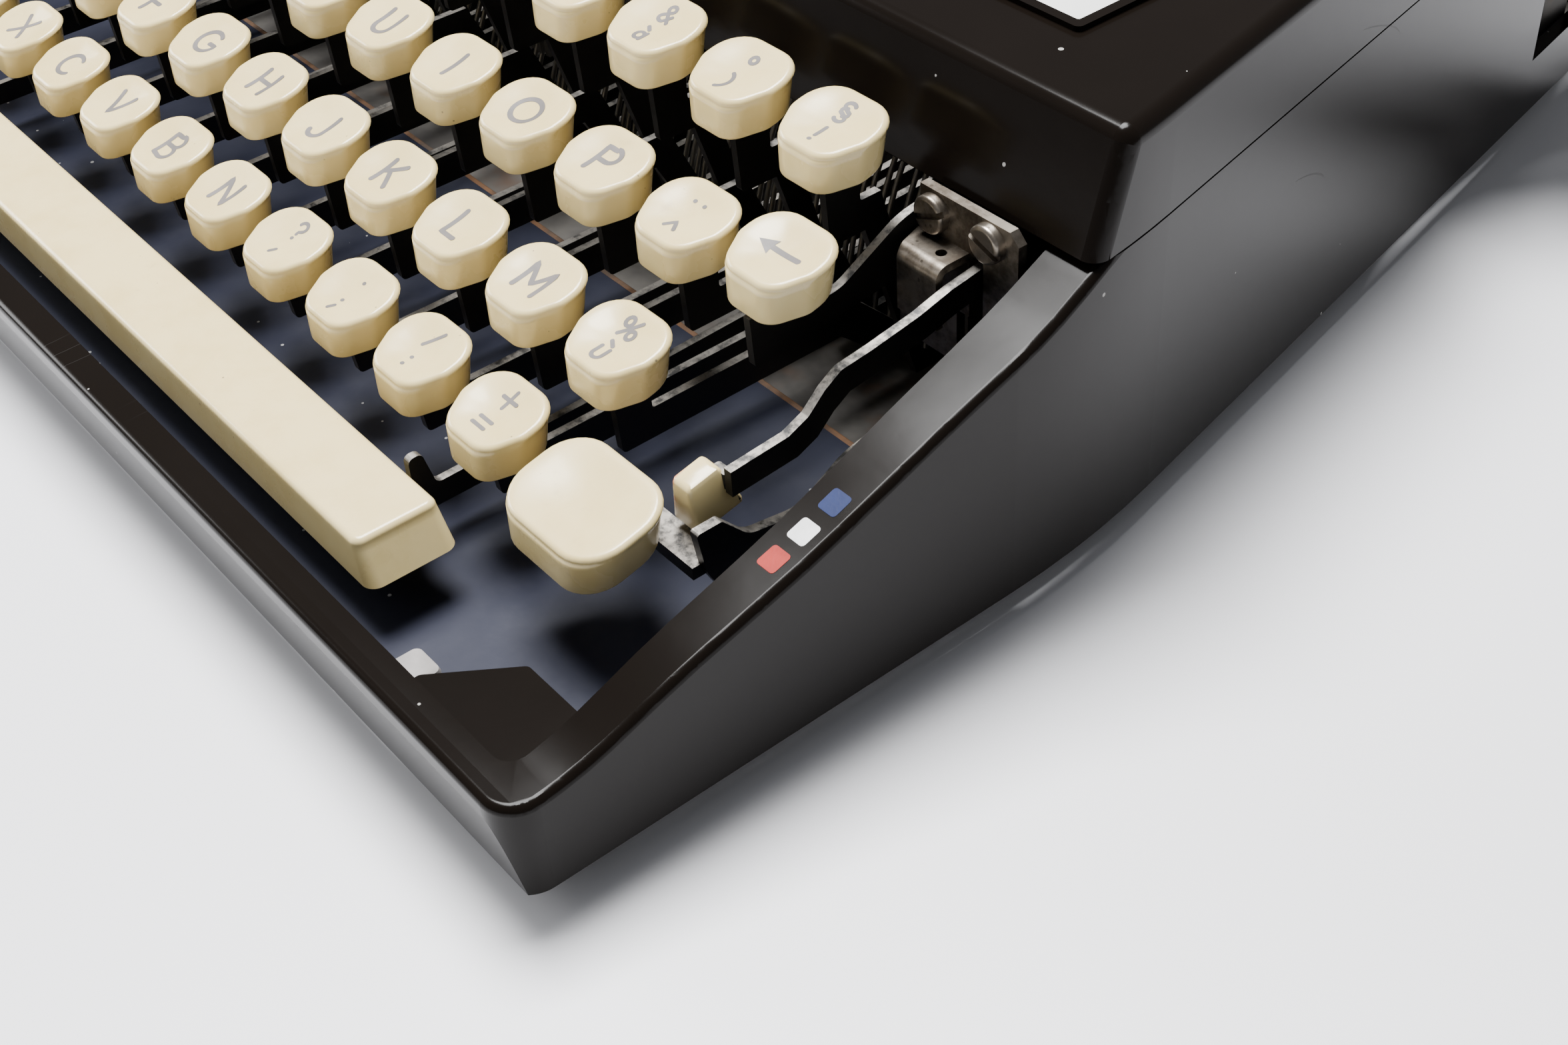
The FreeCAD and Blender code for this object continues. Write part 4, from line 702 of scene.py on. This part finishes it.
def build_side_keys():
    for name, side in (("shift_key_right", 1), ("shift_key_left", -1)):
        build = Build()
        x, setback, top = SHIFT_PLACE
        add_key(build, SHIFT_CAP, side * x, setback - DEPTH_HALF, top, foot=False)
        key_piece(name + "_cap", build, name)
    build = Build()
    x, setback, top = LOCK_PLACE
    add_key(build, LOCK_CAP, x, setback - DEPTH_HALF, top, foot=False)
    key_piece("shift_lock_cap", build, "shift_lock")
    build = Build()
    x, setback, top = BACKSPACE_PLACE
    add_key(build, KEY_CAP, x, setback - DEPTH_HALF, top, "back")
    key_piece("backspace_cap", build, "backspace_key")


def build_space_bar():
    """Long bar with soft edges, drawn out towards its foot, and its two arms."""
    build = Build()
    x, setback, top = SPACE_PLACE
    width, depth, height = SPACE_SIZE
    low_edge = 0.4
    shapes = [(1.0, -2.0, height - 1.0), (1.0, -0.5, height), (1.0, 0.0, height - low_edge)]
    shapes += [(t, 0.0, SPACE_EDGE + (height - low_edge - SPACE_EDGE) * t) for t in (0.7, 0.4, 0.15, 0.0)]
    shapes += [(0.0, -SPACE_EDGE * (1 - math.cos(a)), SPACE_EDGE * (1 - math.sin(a)))
               for a in [math.pi / 2 * i / 7 for i in range(1, 8)]]
    build.rings([loop(width + 2 * (grow + SPACE_END_DRAFT * share),
                      depth + 2 * (grow + SPACE_DRAFT * share),
                      max(SPACE_CORNER + grow + SPACE_DRAFT * share, 0.4), 0.0,
                      x, setback - DEPTH_HALF, top - below)
                 for share, grow, below in shapes])
    made = piece("space_bar_cap", build.points, build.faces, "ivory", "space_bar", 50.0)
    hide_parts("space_bar")
    arms = Build()
    for points, faces in cad_parts("space_bar"):
        if (points.max(0) - points.min(0))[0] < 50:
            arms.add(points, faces)
    made = piece("space_bar_arms", arms.points, arms.faces, "enamel", "space_bar", 30.0)
    mark_upper(made)


def build_selector():
    """Ivory wedge on the flat arm of the colour selector."""
    x, y = SELECTOR_X, SELECTOR_SETBACK - DEPTH_HALF
    low, middle, high = SELECTOR_LOW, SELECTOR_MIDDLE, SELECTOR_HIGH
    tip = Build()
    rows = []
    for z, inset in ((low, SELECTOR_ROUND), (low + 0.2, 0.2), (low + 0.7, 0.0), (middle, 0.0),
                     (high - 0.7, 0.0), (high - 0.2, 0.2), (high, SELECTOR_ROUND)):
        share = (z - low) / (high - low)
        x0, x1 = x - 5.9 + 0.6 * share + inset, x - 0.4 - 1.1 * share - inset
        half = 4.0 - 1.4 * share - inset
        plan = rounded(x1 - x0, 2 * half, max(SELECTOR_ROUND - inset, 0.25), 6, 4)
        cos, sin, above = math.cos(SELECTOR_TILT), math.sin(SELECTOR_TILT), z - middle
        rows.append([((x0 + x1) / 2 + px, y + py * cos - above * sin, middle + py * sin + above * cos)
                     for px, py in plan])
    tip.rings(rows)
    made = piece("selector_tip", tip.points, tip.faces, "selector_ivory", "selector", 40.0)
    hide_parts("ribbon_selector")
    blade = Build()
    for points, faces in cad_parts("ribbon_selector"):
        flat = [face for face in faces
                if all(abs(points[v][0] - x) < 0.72 and points[v][1] > y + 1.7 for v in face)]
        blade.add(points, flat)
    blade.rings([loop(2.8, 1.4, 0.1, 0.0, x - 2.1, y + 2.5, z) for z in (29.6, 32.0)])
    made = piece("selector_arm", blade.points, blade.faces, "enamel", "selector", 30.0)
    mark_upper(made)


# ---- link wires: a node tree that turns paths into round wire -----------------------------
def wire_tree():
    tree = bpy.data.node_groups.new("wire_along_path", "GeometryNodeTree")
    face = tree.interface
    face.new_socket("Path", in_out="INPUT", socket_type="NodeSocketGeometry")
    face.new_socket("Radius", in_out="INPUT", socket_type="NodeSocketFloat")
    face.new_socket("Sides", in_out="INPUT", socket_type="NodeSocketInt")
    face.new_socket("Finish", in_out="INPUT", socket_type="NodeSocketMaterial")
    face.new_socket("Wire", in_out="OUTPUT", socket_type="NodeSocketGeometry")
    start = tree.nodes.new("NodeGroupInput")
    path, radius, sides, finish = [Sock(tree, start.outputs[i]) for i in range(4)]
    curve = node(tree, "GeometryNodeMeshToCurve", {"Mesh": path})
    smooth = node(tree, "GeometryNodeCurveSplineType", {"Curve": curve}, spline_type="CATMULL_ROM")
    even = node(tree, "GeometryNodeResampleCurve", {"Curve": smooth, "Count": 14})
    ring = node(tree, "GeometryNodeCurvePrimitiveCircle", {"Resolution": sides, "Radius": radius})
    tube = node(tree, "GeometryNodeCurveToMesh", {"Curve": even, "Profile Curve": ring, "Fill Caps": True})
    real = node(tree, "GeometryNodeRealizeInstances", {"Geometry": tube})
    painted = node(tree, "GeometryNodeSetMaterial", {"Geometry": real, "Material": finish})
    end = tree.nodes.new("NodeGroupOutput")
    tree.links.new(painted.out, end.inputs[0])
    return tree


WIRE_TREE = wire_tree()


def wires(name, paths, radius, finish, body, sides=10):
    """Round wires along the paths, in millimetres, made into one plain mesh."""
    points, edges = [], []
    for path in paths:
        start = len(points)
        points += [tuple(c * MM for c in p) for p in path]
        edges += [(start + i, start + i + 1) for i in range(len(path) - 1)]
    mesh = bpy.data.meshes.new(name + "_path")
    mesh.from_pydata(points, edges, [])
    carrier = bpy.data.objects.new(name + "_path", mesh)
    bpy.context.scene.collection.objects.link(carrier)
    modifier = carrier.modifiers.new("wire", "NODES")
    modifier.node_group = WIRE_TREE
    values = {"Radius": radius * MM, "Sides": sides, "Finish": MATERIALS[finish]}
    for item in WIRE_TREE.interface.items_tree:
        if item.item_type == "SOCKET" and item.in_out == "INPUT" and item.name in values:
            modifier[item.identifier] = values[item.name]
    graph = bpy.context.evaluated_depsgraph_get()
    made_mesh = bpy.data.meshes.new_from_object(carrier.evaluated_get(graph))
    bpy.data.objects.remove(carrier)
    made_mesh.name = name
    made = bpy.data.objects.new(name, made_mesh)
    bpy.context.scene.collection.objects.link(made)
    soften(made, 60.0)
    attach(made, body)
    return made


def build_links():
    """Paired pull wires from each lever up towards the type bars."""
    paths = {}
    for node_name, text, x, y, top in key_rows():
        lean = -x * 0.05
        for dx in (-0.9, 0.9):
            paths.setdefault(node_name, []).append([
                (x + dx, 98.5 - DEPTH_HALF, 17.0), (x + dx + lean * 0.3, 101.0 - DEPTH_HALF, 24.0),
                (x + dx + lean * 0.7, 105.5 - DEPTH_HALF, 33.0), (x + dx + lean, 111.0 - DEPTH_HALF, 41.0)])
    for node_name, some in paths.items():
        wires(node_name + "_links", some, 0.45, "steel", node_name)


# ---- small things on the casing -----------------------------------------------------------
def rim_z(y):
    """Height of the sloping right rim, read from the casing itself."""
    hit = nodes["body_shell"].ray_cast(Vector((0.136, (y - DEPTH_HALF) * MM, 0.2)), Vector((0, 0, -1)))
    return hit[1].z / MM


def build_marks():
    """Three painted squares on the right rim that show the ribbon colours."""
    for name, finish, y in (("mark_red", "mark_red", 43.6), ("mark_white", "mark_white", 48.4),
                            ("mark_blue", "mark_blue", 53.4)):
        build = Build()
        half = 1.6
        plan = rounded(2 * half, 2 * half, 0.5, 4, 3)
        rows = []
        for lift in (-0.15, 0.05):
            rows.append([(136.2 + px, y + py - DEPTH_HALF, rim_z(y + py) + lift) for px, py in plan])
        build.rings(rows)
        piece("rim_" + name, build.points, build.faces, finish, "machine", 30.0)


def build_pad():
    """Grey rubber buffer between the front wall and the corner floor."""
    build = Build()
    rows = [loop(6.0, 7.0, 1.2, inset, 106.5, 7.2 - DEPTH_HALF, z)
            for z, inset in ((8.4, 0.0), (14.6, 0.0), (15.2, 0.2), (15.5, 0.7))]
    build.rings(rows)
    piece("front_buffer", build.points, build.faces, "grey_rubber", "machine", 40.0)
    build = Build()
    inner = 136.5
    rows = []
    for x in (-inner, inner):
        rows.append([(x, 82.2 - DEPTH_HALF, 8.42), (x, 83.0 - DEPTH_HALF, 8.42),
                     (x, 83.3 - DEPTH_HALF, 8.2), (x, 83.3 - DEPTH_HALF, 7.05), (x, 82.9 - DEPTH_HALF, 7.05)])
    build.rings(rows)
    piece("tray_rear_edge", build.points, build.faces, "rusty_edge", "machine", 30.0)


def build_crack():
    """Hairline crack on the front of the M cap."""
    setback, top, shift, _ = ROWS["home"]
    x, y = FRONT_ROW_END + shift - KEY_PITCH, setback - DEPTH_HALF
    path = []
    for i in range(7):
        t = i / 6
        u, below = -4.0 + 3.2 * t, 1.15 + 0.55 * t - 0.25 * math.sin(t * 3.0)
        side = -0.08 + (0.0 if u > -2.0 else (u + 2.0) ** 2 * 0.13)
        px, py, pz = KEY_CAP.place(u, -KEY_CAP.depth / 2 + side, below)
        path.append((x + px, y + py, top + pz))
    wires("m_cap_crack", [path], 0.05, "crack_dark", "key_m", 6)


def dress_cad():
    finish = {
        "body_shell": "black_gloss", "top_cover": "black_gloss", "name_badge": "badge_white",
        "base_plate": "dusty_base", "keyboard_tray": "slate", "rubber_feet": "rubber",
        "selector_bracket": "nickel", "bracket_screws": "nickel", "side_frames": "dusty_base",
        "key_comb": "steel", "fulcrum_rod": "steel", "type_segment": "steel", "type_bars": "steel",
        "equals_type_bar": "steel", "left_ribbon_spool": "rubber", "right_ribbon_spool": "rubber",
        "ribbon": "ribbon_cloth", "carriage_rail": "steel", "carriage_base": "rubber",
        "carriage_frame": "black_gloss", "platen": "rubber", "platen_knobs": "black_gloss",
        "feed_rollers": "grey_rubber", "paper_bail": "steel", "paper_table": "black_gloss",
        "return_lever": "nickel", "paper_release_lever": "nickel", "mainspring_drum": "steel",
    }
    for name, one in finish.items():
        mesh = nodes[name].data
        mesh.materials.clear()
        mesh.materials.append(MATERIALS[one])
        soften(nodes[name], 28.0)


# ---- floor, light and camera --------------------------------------------------------------
def build_stage():
    floor_mesh = bpy.data.meshes.new("table")
    s = 4.0
    floor_mesh.from_pydata([(-s, -s, 0), (s, -s, 0), (s, s, 0), (-s, s, 0)], [], [(0, 1, 2, 3)])
    floor = bpy.data.objects.new("table", floor_mesh)
    bpy.context.scene.collection.objects.link(floor)

    def table_top(tree, place):
        cloud = noise(place, 6.0, 3.0)
        return {"Base Color": mix((0.84, 0.84, 0.86), (0.81, 0.81, 0.84), cloud), "Roughness": 0.42}
    floor_mesh.materials.append(material("table_top", table_top))


def area_light(name, place, target, size, watts, tint=(1.0, 1.0, 1.0)):
    light = bpy.data.lights.new(name, "AREA")
    light.shape = "RECTANGLE"
    light.size, light.size_y = size
    light.energy = watts
    light.color = tint
    made = bpy.data.objects.new(name, light)
    bpy.context.scene.collection.objects.link(made)
    made.location = place
    aim = Vector(target) - Vector(place)
    made.rotation_euler = aim.to_track_quat("-Z", "Y").to_euler()


def build_light():
    area_light("top_softbox", (-0.35, 0.15, 1.5), (0.0, 0.0, 0.0), (0.8, 0.8), 98.0)
    area_light("left_softbox", (-1.5, -0.6, 0.6), (0.0, 0.0, 0.0), (0.8, 0.6), 22.0)
    world = bpy.data.worlds.new("studio")
    world.use_nodes = True
    tree = world.node_tree
    tree.nodes.clear()
    glow = node(tree, "ShaderNodeBackground", {"Color": (0.93, 0.95, 1.0, 1.0), "Strength": 0.24})
    node(tree, "ShaderNodeOutputWorld", [glow])
    bpy.context.scene.world = world


def build_camera():
    azimuth, elevation, roll = [math.radians(v) for v in (53.166, 41.056, 4.05)]
    back = Vector((math.sin(azimuth) * math.cos(elevation), -math.cos(azimuth) * math.cos(elevation),
                   math.sin(elevation)))
    ahead = -back
    right = ahead.cross(Vector((0, 0, 1))).normalized()
    down = ahead.cross(right)
    right_rolled = math.cos(roll) * right + math.sin(roll) * down
    down_rolled = -math.sin(roll) * right + math.cos(roll) * down
    turn = Matrix((right_rolled, -down_rolled, -ahead)).transposed()
    data = bpy.data.cameras.new("camera")
    data.lens = 47.57
    data.sensor_width = 36.0
    data.clip_start, data.clip_end = 0.01, 20.0
    made = bpy.data.objects.new("camera", data)
    bpy.context.scene.collection.objects.link(made)
    made.matrix_world = Matrix.Translation((0.28474, -0.20172, 0.19767)) @ turn.to_4x4()
    bpy.context.scene.camera = made


dress_cad()
build_keys()
build_side_keys()
build_space_bar()
build_selector()
build_links()
build_marks()
build_pad()
build_crack()
build_stage()
build_light()
build_camera()
